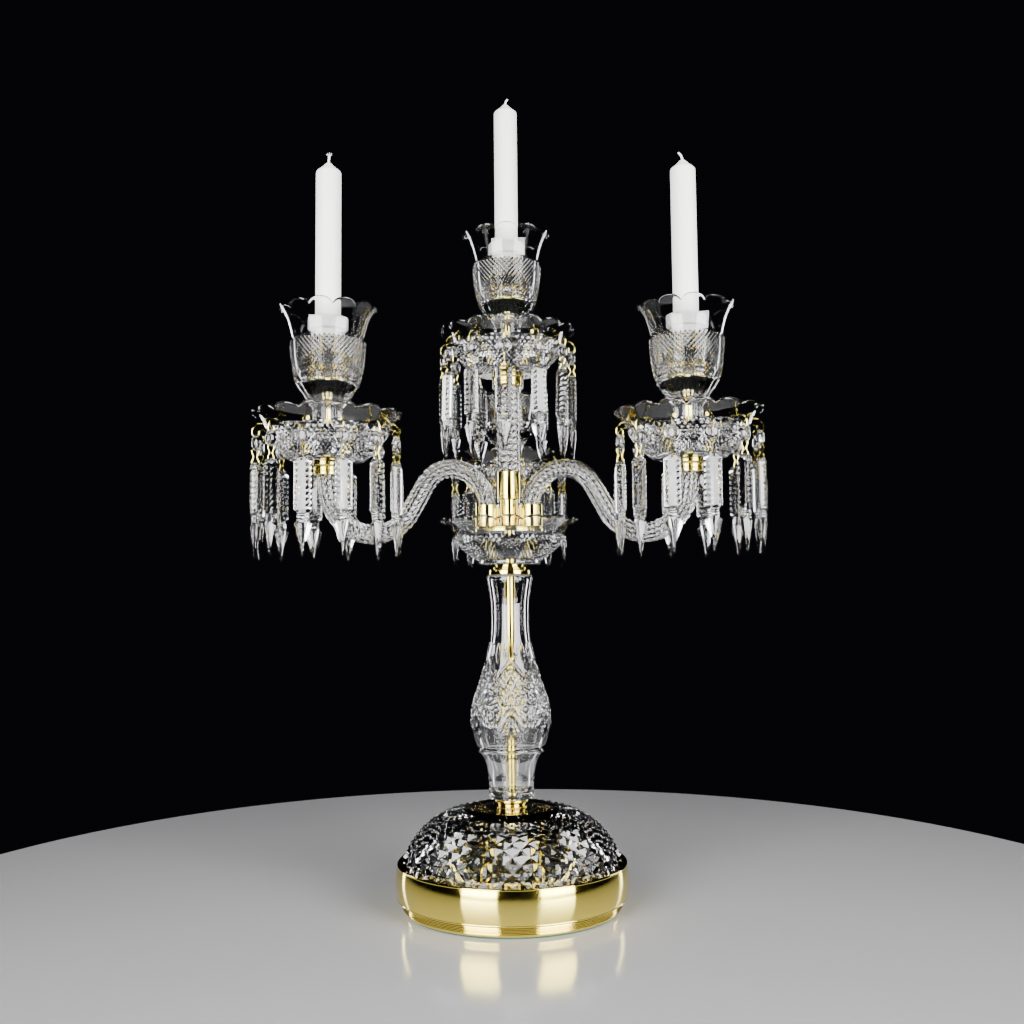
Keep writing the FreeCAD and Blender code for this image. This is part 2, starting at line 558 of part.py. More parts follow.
def build_light(side, x, y, level, turn):
    """End cap, drip pan, candle cup, socket, collar and candle, all on one centre line."""
    held = "stem_radius" if side == "centre" else "arm_radius"
    bore = f"{held}+glass_gap"
    wall = f"{bore}+cap_wall"
    cap = turned_body(f"cap_body_{side}", [
        (bore, "0"), (wall, "0"), (wall, "2"), (f"{wall}+0.7", "2.9", "-0.3"), (wall, "3.8"),
        (wall, "6.4"), (f"{wall}+cap_flare", "8.4"), (f"{wall}+cap_flare", "cap_height-0.5"),
        (f"{wall}+cap_flare-0.5", "cap_height"), (STUD_BORE, "cap_height"),
        (STUD_BORE, "cap_depth+0.3"), (bore, "cap_depth+0.3"),
    ])
    keep(f"end_cap_{side}", cap, x, y, f"{level}-cap_height", turn)

    pan = turned_body(f"pan_body_{side}", [
        (STUD_BORE, "0"), ("pan_foot_radius-0.8", "0"), ("pan_foot_radius", "0.8", "-0.2"),
        ("pan_edge_radius", "pan_edge_height", "-2.2"), ("pan_rim_radius", "pan_rim_height", "1.2"),
        ("pan_rim_radius-glass_wall*0.8", "pan_rim_height"),
        ("pan_edge_radius-glass_wall", "pan_floor+1", "-1.2"), ("pan_edge_radius-glass_wall-1", "pan_floor"),
        (STUD_BORE, "pan_floor"),
    ])
    scallop(pan, f"pan_{side}", "pan_rim_radius", "pan_rim_height", "pan_lobes")
    drill_round(pan, f"pan_{side}", "pin_level", "pin_hole", "pan_rim_radius+5", "strand_count")
    keep(f"pan_{side}", pan, x, y, level, f"{turn}+{side}_phase")

    foot = "pan_floor+seat_thick"
    wall = "glass_wall+1"
    cup = turned_body(f"cup_body_{side}", [
        (STUD_BORE, "0"), ("cup_foot_radius", "0"), ("cup_neck_radius", "5", "0.6"),
        ("cup_neck_radius", "cup_neck_height"), ("cup_cone_radius", "cup_cone_height", "-1.2"),
        ("cup_body_radius", "cup_body_height-6", "-0.9"), ("cup_body_radius", "cup_body_height"),
        ("cup_body_radius-1", "cup_body_height+1.5"), ("cup_rim_radius", "cup_height", "1.1"),
        ("cup_rim_radius-glass_wall*0.7", "cup_height"),
        (f"cup_body_radius-{wall}", "cup_body_height+3", "-1.1"),
        (f"cup_body_radius-{wall}-0.6", "cup_body_height-6"),
        ("cup_cone_radius-3.4", "cup_floor+2.5", "0.8"), ("cup_cone_radius-6.4", "cup_floor", "0.5"),
        (STUD_BORE, "cup_floor"),
    ])
    scallop(cup, f"cup_{side}", "cup_rim_radius", "cup_height", "cup_lobes")
    keep(f"cup_{side}", cup, x, y, f"{level}+{foot}", turn)

    bore = "candle_radius"
    socket_level = f"{level}+{foot}+socket_lift"
    socket = turned_body(f"socket_body_{side}", [
        (STUD_BORE, "0"), (f"{bore}-2", "0"), (f"{bore}+socket_wall-0.4", "1.6", "-0.5"),
        (f"{bore}+socket_wall-0.4", "socket_height-2.4"),
        (f"{bore}+socket_wall", "socket_height-1.2", "-0.3"),
        (f"{bore}+socket_wall-0.4", "socket_height", "-0.3"), (bore, "socket_height"),
        (bore, "socket_floor"), (STUD_BORE, "socket_floor"),
    ])
    keep(f"socket_{side}", socket, x, y, socket_level, turn)

    plug = "candle_radius-plug_gap"
    seat = "candle_radius+candle_gap"
    collar = turned_body(f"collar_body_{side}", [
        (f"{plug}-plug_wall", "0"), (plug, "0"), (plug, "collar_lift"), ("collar_radius-0.5", "collar_lift"),
        ("collar_radius", "collar_lift+0.5"), ("collar_radius", "collar_lift+collar_height-0.8"),
        ("collar_radius-0.8", "collar_lift+collar_height"), (seat, "collar_lift+collar_height"),
        (seat, "collar_lift+collar_floor"), ("0", "collar_lift+collar_floor"), ("0", "collar_lift-1"),
        (f"{plug}-plug_wall", "collar_lift-1"),
    ])
    keep(f"collar_{side}", collar, x, y, f"{socket_level}+socket_floor", turn)

    top = "candle_length+candle_tip"
    candle = turned_body(f"candle_body_{side}", [
        ("0", "0"), ("candle_radius-0.4", "0"), ("candle_radius", "0.4"),
        ("candle_radius", "candle_length-1"), ("candle_radius-1.2", "candle_length", "-0.3"),
        ("wick_radius+1.2", f"{top}-0.8", "0.6"), ("wick_radius", top),
        ("wick_radius", f"{top}+wick_length"), ("0", f"{top}+wick_length"),
    ])
    keep(f"candle_{side}", candle, x, y, f"{socket_level}+socket_floor+collar_lift+collar_floor", turn)


# ------------------------------------------------------------------ strands
def at_light(side):
    """Where a light's centre line meets its pan's underside, and the bearing of its strands."""
    x, y, level, turn = LIGHTS[side]
    return FreeCAD.Vector(value(x), value(y), value(level)), value(turn) + value(f"{side}_phase")


def bar_at(x0, x1, z0, z1):
    """A wire of square section in the plane of a strand, as a box."""
    wire = value("pin_wire")
    return Part.makeBox(x1 - x0, wire, z1 - z0, FreeCAD.Vector(x0, -wire / 2, z0))


def wire_loop(top, low):
    """A closed loop of square wire about the strand's radius, its wire centred on the two levels."""
    half, wire, middle = value("loop_half"), value("pin_wire"), value("strand_radius")
    outer = bar_at(middle - half - wire, middle + half + wire, low - wire / 2, top + wire / 2)
    inner = Part.makeBox(
        2 * half, 2 * wire, top - low - wire, FreeCAD.Vector(middle - half, -wire, low + wire / 2))
    return outer.cut(inner)


def hexagon(level, half):
    """One level of a prism: a flat six-sided section, half as thick as it is wide."""
    middle = value("strand_radius")
    corners = [(0, 1), (0.5, 0.5), (0.5, -0.5), (0, -1), (-0.5, -0.5), (-0.5, 0.5)]
    points = [FreeCAD.Vector(middle + a * half, b * half, level) for a, b in corners]
    return Part.makePolygon(points + points[:1])


def make_prism():
    """A notched-bar drop: bar, neck and spear in one piece of glass, drilled at the top."""
    top, half, neck = value("prism_top"), value("prism_half"), value("prism_neck_half")
    bar, end = top - value("bar_length"), top - value("prism_length")
    waist = bar - value("neck_length")
    shape = Part.makeLoft([
        hexagon(top, 0.5 * half), hexagon(top - 3.9, half), hexagon(bar + 2.2, half), hexagon(bar, neck),
        hexagon(waist, neck), hexagon(waist - value("shoulder_length"), half), hexagon(end, 0.05 * half),
    ], True, True)
    return shape.cut(eye(top - value("prism_hole_drop")))


def eye(level):
    """The drill through a hanging piece, along the strand's radial way."""
    start = FreeCAD.Vector(value("strand_radius") - 8, 0, level)
    return Part.makeCylinder(value("eye_hole"), 16, start, FreeCAD.Vector(1, 0, 0))


def make_bead():
    """An eight-sided bead, thickest in the middle, with one hole at the top and one at the bottom."""
    middle, level = value("strand_radius"), value("bead_level")
    rings = []
    for along, share in ((-0.5, 0.45), (-0.12, 1.0), (0.12, 1.0), (0.5, 0.45)):
        radius = share * value("bead_radius") / math.cos(math.pi / 8)
        points = []
        for corner in range(8):
            angle = math.radians(22.5 + 45 * corner)
            across, up = radius * math.cos(angle), radius * math.sin(angle)
            points.append(FreeCAD.Vector(middle + along * value("bead_thick"), across, level + up))
        rings.append(Part.makePolygon(points + points[:1]))
    shape = Part.makeLoft(rings, True, True)
    offset = value("bead_hole_offset")
    return shape.cut(eye(level + offset)).cut(eye(level - offset))


def make_strand():
    """The pieces of one strand at bearing zero: hook pin, bead, link and prism."""
    slack, wire, middle = value("eye_slack"), value("pin_wire"), value("strand_radius")
    rest = value(EYE_REST)
    pin_at = value("pin_level") - value("pin_hole") + slack / 2 + wire / 2
    half = value("loop_half")
    hang = value(HANG_LEVEL)
    head = value("pan_edge_radius-glass_wall") - 1.0
    hook = bar_at(head, middle + half + wire, pin_at - wire / 2, pin_at + wire / 2)
    hook = hook.fuse(bar_at(middle + half, middle + half + wire, hang + 2.8, pin_at))
    hook = hook.fuse(wire_loop(hang + 2.8, hang))
    start = FreeCAD.Vector(head - wire, 0, pin_at)
    knob = Part.makeCylinder(value("pin_knob"), wire, start, FreeCAD.Vector(1, 0, 0))
    hook = hook.fuse(knob).removeSplitter()
    link = wire_loop(value("bead_level-bead_hole_offset") - rest, value("prism_top-prism_hole_drop") + rest)
    return {"hook": hook, "bead": make_bead(), "link": link, "prism": make_prism()}


def lean_aside(side, bearing):
    """How far a strand at a bearing leans sideways, in degrees, where an arm of glass holds it aside."""
    turns = [value(f"{arm}_turn") for arm in ("left", "right", "back")]
    near, depth = "0.05*prism_half", "prism_length"
    if side != "centre":
        turns, near, depth = [value(LIGHTS[side][3]) + 180], "prism_half", "bar_length"
    needed = value(f"arm_radius+strand_clearance+{near}")
    for turn in turns:
        apart = (bearing - turn + 180) % 360 - 180
        offset = value("strand_radius") * math.sin(math.radians(apart))
        if abs(apart) < 90 and abs(offset) < needed:
            lean = math.asin((needed - abs(offset)) / value(f"{HANG_LEVEL}-prism_top+{depth}"))
            return math.degrees(math.copysign(lean, offset))
    return 0.0


def placed(shape, side, number, leans=True):
    """A copy of a strand's piece at its place round a light, leaning aside if it hangs from its hook."""
    centre, first = at_light(side)
    bearing = first + 360 / value("strand_count") * number
    made = shape.copy()
    if leans:
        pivot = FreeCAD.Vector(value("strand_radius"), 0, value(HANG_LEVEL))
        made.rotate(pivot, FreeCAD.Vector(1, 0, 0), lean_aside(side, bearing))
    turn = FreeCAD.Placement(centre, FreeCAD.Rotation(FreeCAD.Vector(0, 0, 1), bearing))
    made.Placement = turn.multiply(made.Placement)
    return made


def build_strands():
    """The fixed rings of strands, all their brass, and one strand of each light that swings."""
    pieces = make_strand()
    hooks, links = [], []
    for side in LIGHTS:
        glass = []
        for number in range(round(value("strand_count"))):
            hooks.append(placed(pieces["hook"], side, number, leans=False))
            if number == 0:
                group(f"swing_strand_{side}", [placed(pieces[p], side, 0) for p in ("bead", "link", "prism")])
                continue
            links.append(placed(pieces["link"], side, number))
            glass += [placed(pieces["bead"], side, number), placed(pieces["prism"], side, number)]
        group(f"strands_{side}", glass)
    group("strand_hooks", hooks)
    group("strand_links", links)


def build_fasteners():
    """Two groups: the threaded studs, and the washers that each cup is clamped between."""
    studs, seats = [], []
    for side, (x, y, level, _) in LIGHTS.items():
        foot = f"{level}-cap_height+cap_depth+0.5"
        head = f"{level}+pan_floor+seat_thick+socket_lift+socket_floor-0.2"
        stud = cylinder(f"stud_{side}", "stud_radius", f"{head}-({foot})", foot)
        seat = ring(f"seat_{side}", "seat_radius", STUD_BORE, "seat_thick")
        clamp = turned_body(f"clamp_{side}", [
            (STUD_BORE, "0"), ("clamp_radius", "0"), ("clamp_radius", "clamp_thick"),
            ("boss_radius", "clamp_thick"), ("boss_radius", "boss_height"), (STUD_BORE, "boss_height"),
        ])
        floor = f"{level}+pan_floor+seat_thick+cup_floor"
        for made, low in ((stud, foot), (seat, f"{level}+pan_floor"), (clamp, floor)):
            for axis, formula in (("x", x), ("y", y), ("z", low)):
                made.setExpression(f"Placement.Base.{axis}", bound(formula))
        studs.append(stud)
        seats += [seat, clamp]
    for name, made in (("cup_studs", studs), ("seat_washers", seats)):
        joined = doc.addObject("Part::Compound", name)
        joined.Links = made
        keep(name, joined)


def main():
    """Builds every piece, checks it and writes one file for each node."""
    build_base()
    build_column()
    build_hub()
    for side in ("left", "right", "back"):
        build_arm(f"arm_{side}", f"{side}_turn")
    build_stem()
    for side, facts in LIGHTS.items():
        build_light(side, *facts)
    build_fasteners()
    build_strands()
    doc.recompute()

    for obj in doc.Objects:
        if {"Invalid", "Error"} & set(obj.State):
            raise RuntimeError(f"{obj.Name} did not build: {obj.State}")
    os.makedirs("parts", exist_ok=True)
    for name, obj in parts.items():
        shape = obj.Shape
        if shape.isNull() or not shape.isValid() or not shape.Solids:
            raise RuntimeError(f"{name} has no valid solid")
        shape.exportStep(f"parts/{name}.step")
    whole = FreeCAD.BoundBox()
    for obj in parts.values():
        whole.add(obj.Shape.BoundBox)
    print(f"{len(parts)} nodes, {whole.XLength:.1f} x {whole.YLength:.1f} x {whole.ZLength:.1f} mm")


main()
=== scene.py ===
"""Looks of a four-light table candelabra in cut crystal and polished brass.

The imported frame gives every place: levels and centre lines are read from its nodes. Each class holds the
sizes of its own pieces in millimetres, builds their meshes and dresses them. Cuts in the glass are real
facets. The front is -Y, +Z is up, and the finished meshes are in metres.
"""

import logging
import math
import random
from dataclasses import dataclass, field
from enum import Enum
from typing import Callable, Iterable, Sequence

import bpy
from mathutils import Matrix, Vector

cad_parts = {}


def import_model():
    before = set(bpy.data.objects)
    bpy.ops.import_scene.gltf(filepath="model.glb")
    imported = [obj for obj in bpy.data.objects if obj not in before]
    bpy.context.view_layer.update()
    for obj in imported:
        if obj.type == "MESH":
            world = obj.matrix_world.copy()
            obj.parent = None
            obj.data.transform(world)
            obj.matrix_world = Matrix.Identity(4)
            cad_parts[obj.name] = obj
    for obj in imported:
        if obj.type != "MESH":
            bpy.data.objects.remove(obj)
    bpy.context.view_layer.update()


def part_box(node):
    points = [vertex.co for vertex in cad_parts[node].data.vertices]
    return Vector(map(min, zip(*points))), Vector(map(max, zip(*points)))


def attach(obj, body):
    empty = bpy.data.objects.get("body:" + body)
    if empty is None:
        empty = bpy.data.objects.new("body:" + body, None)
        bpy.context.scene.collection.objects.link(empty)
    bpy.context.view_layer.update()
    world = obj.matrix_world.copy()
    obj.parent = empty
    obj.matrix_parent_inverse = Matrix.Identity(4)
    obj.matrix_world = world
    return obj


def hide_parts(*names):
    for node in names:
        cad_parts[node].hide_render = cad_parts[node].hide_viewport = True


MM = 0.001
STAND = "stand"
FRONT_TURN = 270.0
WIRE_SIDES = 8
BEAD_SIDES = 8

Pair = tuple[float, float]
Colour = tuple[float, float, float, float]
Tree = bpy.types.NodeTree
Socket = bpy.types.NodeSocket

log = logging.getLogger("candelabra")


class Facet(Enum):
    """How the faces of a band catch the light: rounded into each other, or each one flat."""

    SMOOTH = True
    FLAT = False


class Side(Enum):
    """The four lights."""

    LEFT = "left"
    RIGHT = "right"
    BACK = "back"
    CENTRE = "centre"


class WickEnd(Enum):
    """How a wick ends: teased out into fibres, bent over, or cut short."""

    FRAYED = "frayed"
    BENT = "bent"
    SHORT = "short"


WICK_SHAPE = {WickEnd.FRAYED: (0.6, 7.5), WickEnd.BENT: (-3.4, 8.4), WickEnd.SHORT: (2.0, 6.6)}


# ---------------------------------------------------------------------------------------- outlines
def trace(corners: Sequence[Sequence[float]], steps: int = 8) -> list[Pair]:
    """Turns corners into an outline of short runs.

    Args:
        corners: (across, up) or (across, up, bulge); a bulge makes the run that arrives there an arc that
            stands that far to the left of its way, or to the right when negative.
        steps: how many runs an arc is drawn with.

    Returns:
        The outline's points, from the first corner to the last.
    """
    points: list[Pair] = [(corners[0][0], corners[0][1])]
    for before, corner in zip(corners, corners[1:]):
        if len(corner) == 2:
            points.append((corner[0], corner[1]))
            continue
        points.extend(bow((before[0], before[1]), (corner[0], corner[1]), corner[2], steps)[1:])
    return points


def bow(start: Pair, end: Pair, bulge: float, steps: int) -> list[Pair]:
    """Draws an arc between two points.

    Args:
        start: where the arc begins.
        end: where it ends.
        bulge: how far its middle stands to the left of its way, or to the right when negative.
        steps: how many runs it has.

    Returns:
        Its points, both ends included.
    """
    across, up = end[0] - start[0], end[1] - start[1]
    chord = math.hypot(across, up)
    radius = (chord * chord / 4 + bulge * bulge) / (2 * abs(bulge))
    half = math.asin(min(1.0, chord / (2 * radius)))
    way = math.copysign(1.0, bulge)
    middle = ((start[0] + end[0]) / 2, (start[1] + end[1]) / 2)
    left = (-up / chord, across / chord)
    drop = (radius - abs(bulge)) * way
    centre = (middle[0] - left[0] * drop, middle[1] - left[1] * drop)
    first = math.atan2(start[1] - centre[1], start[0] - centre[0])
    return [
        (centre[0] + radius * math.cos(first - way * 2 * half * step / steps),
         centre[1] + radius * math.sin(first - way * 2 * half * step / steps))
        for step in range(steps + 1)
    ]


def flowing(points: Sequence[Pair], steps: int) -> list[Pair]:
    """Draws one smooth curve through all the points.

    Args:
        points: the points that the curve goes through.
        steps: how many runs it has between two of them.

    Returns:
        The curve's points.
    """
    padded = [points[0], *points, points[-1]]
    drawn: list[Pair] = []
    for a, b, c, d in zip(padded, padded[1:], padded[2:], padded[3:]):
        for step in range(steps):
            t = step / steps
            drawn.append(tuple(
                0.5 * (2 * b[k] + (c[k] - a[k]) * t + (2 * a[k] - 5 * b[k] + 4 * c[k] - d[k]) * t * t
                       + (3 * b[k] - a[k] - 3 * c[k] + d[k]) * t ** 3)
                for k in (0, 1)))
    return [*drawn, (points[-1][0], points[-1][1])]


class Track:
    """A run of points that can be read at any share of its length."""

    def __init__(self, points: Sequence[Pair], shrink: float = 0.0) -> None:
        """Measures the run.

        Args:
            points: its points, as (across, up).
            shrink: 0 for even steps, 1 for steps in proportion to the distance from the axis.
        """
        self.points = list(points)
        self.marks = [0.0]
        for a, b in zip(points, points[1:]):
            reach = max(1e-6, (a[0] + b[0]) / 2) ** shrink
            self.marks.append(self.marks[-1] + math.dist(a, b) / reach)
        self.length = sum(math.dist(a, b) for a, b in zip(points, points[1:]))

    def at(self, share: float, lift: float = 0.0) -> Pair:
        """Reads the run.

        Args:
            share: how far along, from 0 to 1; a little more goes straight on past the end.
            lift: how far to the right of the run, which is outwards on a run that goes up.

        Returns:
            The point, as (across, up).
        """
        mark = share * self.marks[-1]
        place = 0
        while place < len(self.points) - 2 and self.marks[place + 1] < mark:
            place += 1
        a, b = self.points[place], self.points[place + 1]
        t = (mark - self.marks[place]) / (self.marks[place + 1] - self.marks[place])
        across, up, run = b[0] - a[0], b[1] - a[1], math.dist(a, b)
        return (a[0] + across * t + up / run * lift, a[1] + up * t - across / run * lift)


# ---------------------------------------------------------------------------------------- meshes
class MeshDraft:
    """Points and faces in millimetres, gathered ring by ring and then made into one piece."""

    def __init__(self) -> None:
        """Starts with nothing drawn."""
        self.points: list[tuple[float, float, float]] = []
        self.faces: list[tuple[int, ...]] = []
        self.rounded: list[bool] = []

    def add(self, points: Iterable[Sequence[float]]) -> list[int]:
        """Adds points and returns their numbers."""
        first = len(self.points)
        self.points.extend((p[0], p[1], p[2]) for p in points)
        return list(range(first, len(self.points)))

    def face(self, corners: Sequence[int], facet: Facet) -> None:
        """Adds one face, its corners turning left as seen from outside."""
        self.faces.append(tuple(corners))
        self.rounded.append(facet.value)

    def round(self, columns: int, place: Callable[[int], Pair], turn: float = 0.0) -> list[int]:
        """Adds a ring about the Z axis.

        Args:
            columns: how many points it has.
            place: gives (across, up) for each point's number.
            turn: the bearing of the first point, in degrees.

        Returns:
            The points' numbers: one number only, where the ring is a point on the axis.
        """
        if place(0)[0] < 1e-6:
            return self.add([(0.0, 0.0, place(0)[1])])
        made = []
        for column in range(columns):
            across, up = place(column)
            bearing = math.radians(turn) + 2 * math.pi * column / columns
            made.append((across * math.cos(bearing), across * math.sin(bearing), up))
        return self.add(made)

    def band(self, low: list[int], high: list[int], facet: Facet = Facet.SMOOTH,
             row: int | None = None) -> None:
        """Fills the band between two closed rings, of as many points, of twice as many, or of one point.

        Args:
            low: the ring that the band leaves.
            high: the ring that it arrives at.
            facet: how its faces catch the light.
            row: in a lattice of pyramids, the number of the low ring's row: its quads are then split from
                valley to valley. None leaves them whole.
        """
        n = max(len(low), len(high))
        if len(low) == 1 or len(high) == 1:
            for i in range(n):
                follow = (i + 1) % n
                corners = (low[0], high[follow], high[i]) if len(low) == 1 else (low[i], low[follow], high[0])
                self.face(corners, facet)
        elif len(low) == len(high):
            for i in range(n):
                self._quad(low[i], low[(i + 1) % n], high[(i + 1) % n], high[i], facet,
                           None if row is None else (row + i) % 2 == 0)
        elif len(high) == 2 * len(low):
            for i, a in enumerate(low):
                b = low[(i + 1) % len(low)]
                c, d, e = high[2 * i], high[2 * i + 1], high[(2 * i + 2) % n]
                for corners in ((a, d, c), (a, b, d), (b, e, d)):
                    self.face(corners, facet)
        else:
            for i, a in enumerate(high):
                b = high[(i + 1) % len(high)]
                c, d, e = low[2 * i], low[2 * i + 1], low[(2 * i + 2) % n]
                for corners in ((c, d, a), (d, b, a), (d, e, b)):
                    self.face(corners, facet)

    def _quad(self, a: int, b: int, c: int, d: int, facet: Facet, first_is_valley: bool | None) -> None:
        """Adds one quad, whole or split along the diagonal that joins its valleys."""
        if first_is_valley is None:
            self.face((a, b, c, d), facet)
        elif first_is_valley:
            self.face((a, b, c), facet)
            self.face((a, c, d), facet)
        else:
            self.face((a, b, d), facet)
            self.face((b, c, d), facet)

    def turned(self, outline: Sequence[Pair], columns: int, closed: bool = True) -> None:
        """Turns an outline about the Z axis.

        Args:
            outline: its (across, up) points, going up outside and down inside.
            columns: how many points each ring has.
            closed: whether the last ring joins the first, as on a piece with a bore.
        """
        rings = [self.round(columns, lambda _, p=p: p) for p in outline]
        for low, high in zip(rings, rings[1:]):
            self.band(low, high)
        if closed:
            self.band(rings[-1], rings[0])

    def swept(self, places: Sequence[Vector], section: Callable[[int, int], Pair], corners: int,
              side: Vector, facet: Facet = Facet.SMOOTH, closed: bool = False) -> None:
        """Sweeps a section along a line.

        Args:
            places: the line's points.
            section: gives (sideways, across) for a ring's number and a corner's number, turning left as
                seen from ahead.
            corners: how many corners the section has.
            side: the way that the section's first axis points, as near as the line lets it.
            facet: how the faces catch the light.
            closed: whether the line's end joins its start.
        """
        rings, last = [], len(places) - 1
        for number, place in enumerate(places):
            before = places[number - 1] if number or closed else place
            after = places[(number + 1) % len(places)] if number < last or closed else place
            ahead = (after - before).normalized()
            up = ahead.cross(side).normalized()
            out = up.cross(ahead).normalized()
            ring = []
            for corner in range(corners):
                sideways, across = section(number, corner)
                ring.append(place + out * sideways + up * across)
            rings.append(self.add(ring))
        if closed:
            rings.append(rings[0])
        else:
            rings = [self.add([places[0]]), *rings, self.add([places[-1]])]
        for low, high in zip(rings, rings[1:]):
            self.band(low, high, facet)

    def wire(self, places: Sequence[Vector], radius: float, side: Vector, closed: bool = False) -> None:
        """Sweeps a round wire along a line."""
        def corner(_: int, number: int) -> Pair:
            """One corner of the wire's section."""
            turn = math.tau * number / WIRE_SIDES
            return radius * math.cos(turn), radius * math.sin(turn)
        self.swept(places, corner, WIRE_SIDES, side, closed=closed)

    def take(self, other: "MeshDraft", place: Matrix) -> None:
        """Adds a copy of another draft, moved by a matrix."""
        first = len(self.points)
        self.points.extend(tuple(place @ Vector(p)) for p in other.points)
        self.faces.extend(tuple(first + i for i in f) for f in other.faces)
        self.rounded.extend(other.rounded)

    def mesh(self, name: str, crease: float) -> bpy.types.Mesh:
        """Makes the Blender mesh, in metres, with edges sharper than crease degrees kept sharp."""
        made = bpy.data.meshes.new(name)
        made.from_pydata([tuple(c * MM for c in p) for p in self.points], [], self.faces)
        made.polygons.foreach_set("use_smooth", self.rounded)
        made.set_sharp_from_angle(angle=math.radians(crease))
        made.update()
        return made

    def drilled(self, holes: Sequence[tuple[Vector, Vector, float]]) -> "MeshDraft":
        """Drills this draft and returns it as a new one.

        Args:
            holes: (start, end, radius) of each drill.

        Returns:
            A draft of the drilled shape.
        """
        blank = bpy.data.objects.new("blank", self.mesh("blank", 0.5))
        bpy.context.scene.collection.objects.link(blank)
        drills = []
        for start, end, radius in holes:
            draft = MeshDraft()
            draft.wire([start, end], radius, Vector((0, 0, 1)))
            drill = bpy.data.objects.new("drill", draft.mesh("drill", 30))
            bpy.context.scene.collection.objects.link(drill)
            cut = blank.modifiers.new("hole", "BOOLEAN")
            cut.operation, cut.solver, cut.object = "DIFFERENCE", "EXACT", drill
            drills.append(drill)
        bpy.context.view_layer.update()
        shape = bpy.data.meshes.new_from_object(blank.evaluated_get(bpy.context.evaluated_depsgraph_get()))
        made = MeshDraft()
        made.points = [tuple(c / MM for c in v.co) for v in shape.vertices]
        made.faces = [tuple(f.vertices) for f in shape.polygons]
        made.rounded = [False] * len(made.faces)
        for obj in (*drills, blank):
            bpy.data.objects.remove(obj)
        return made


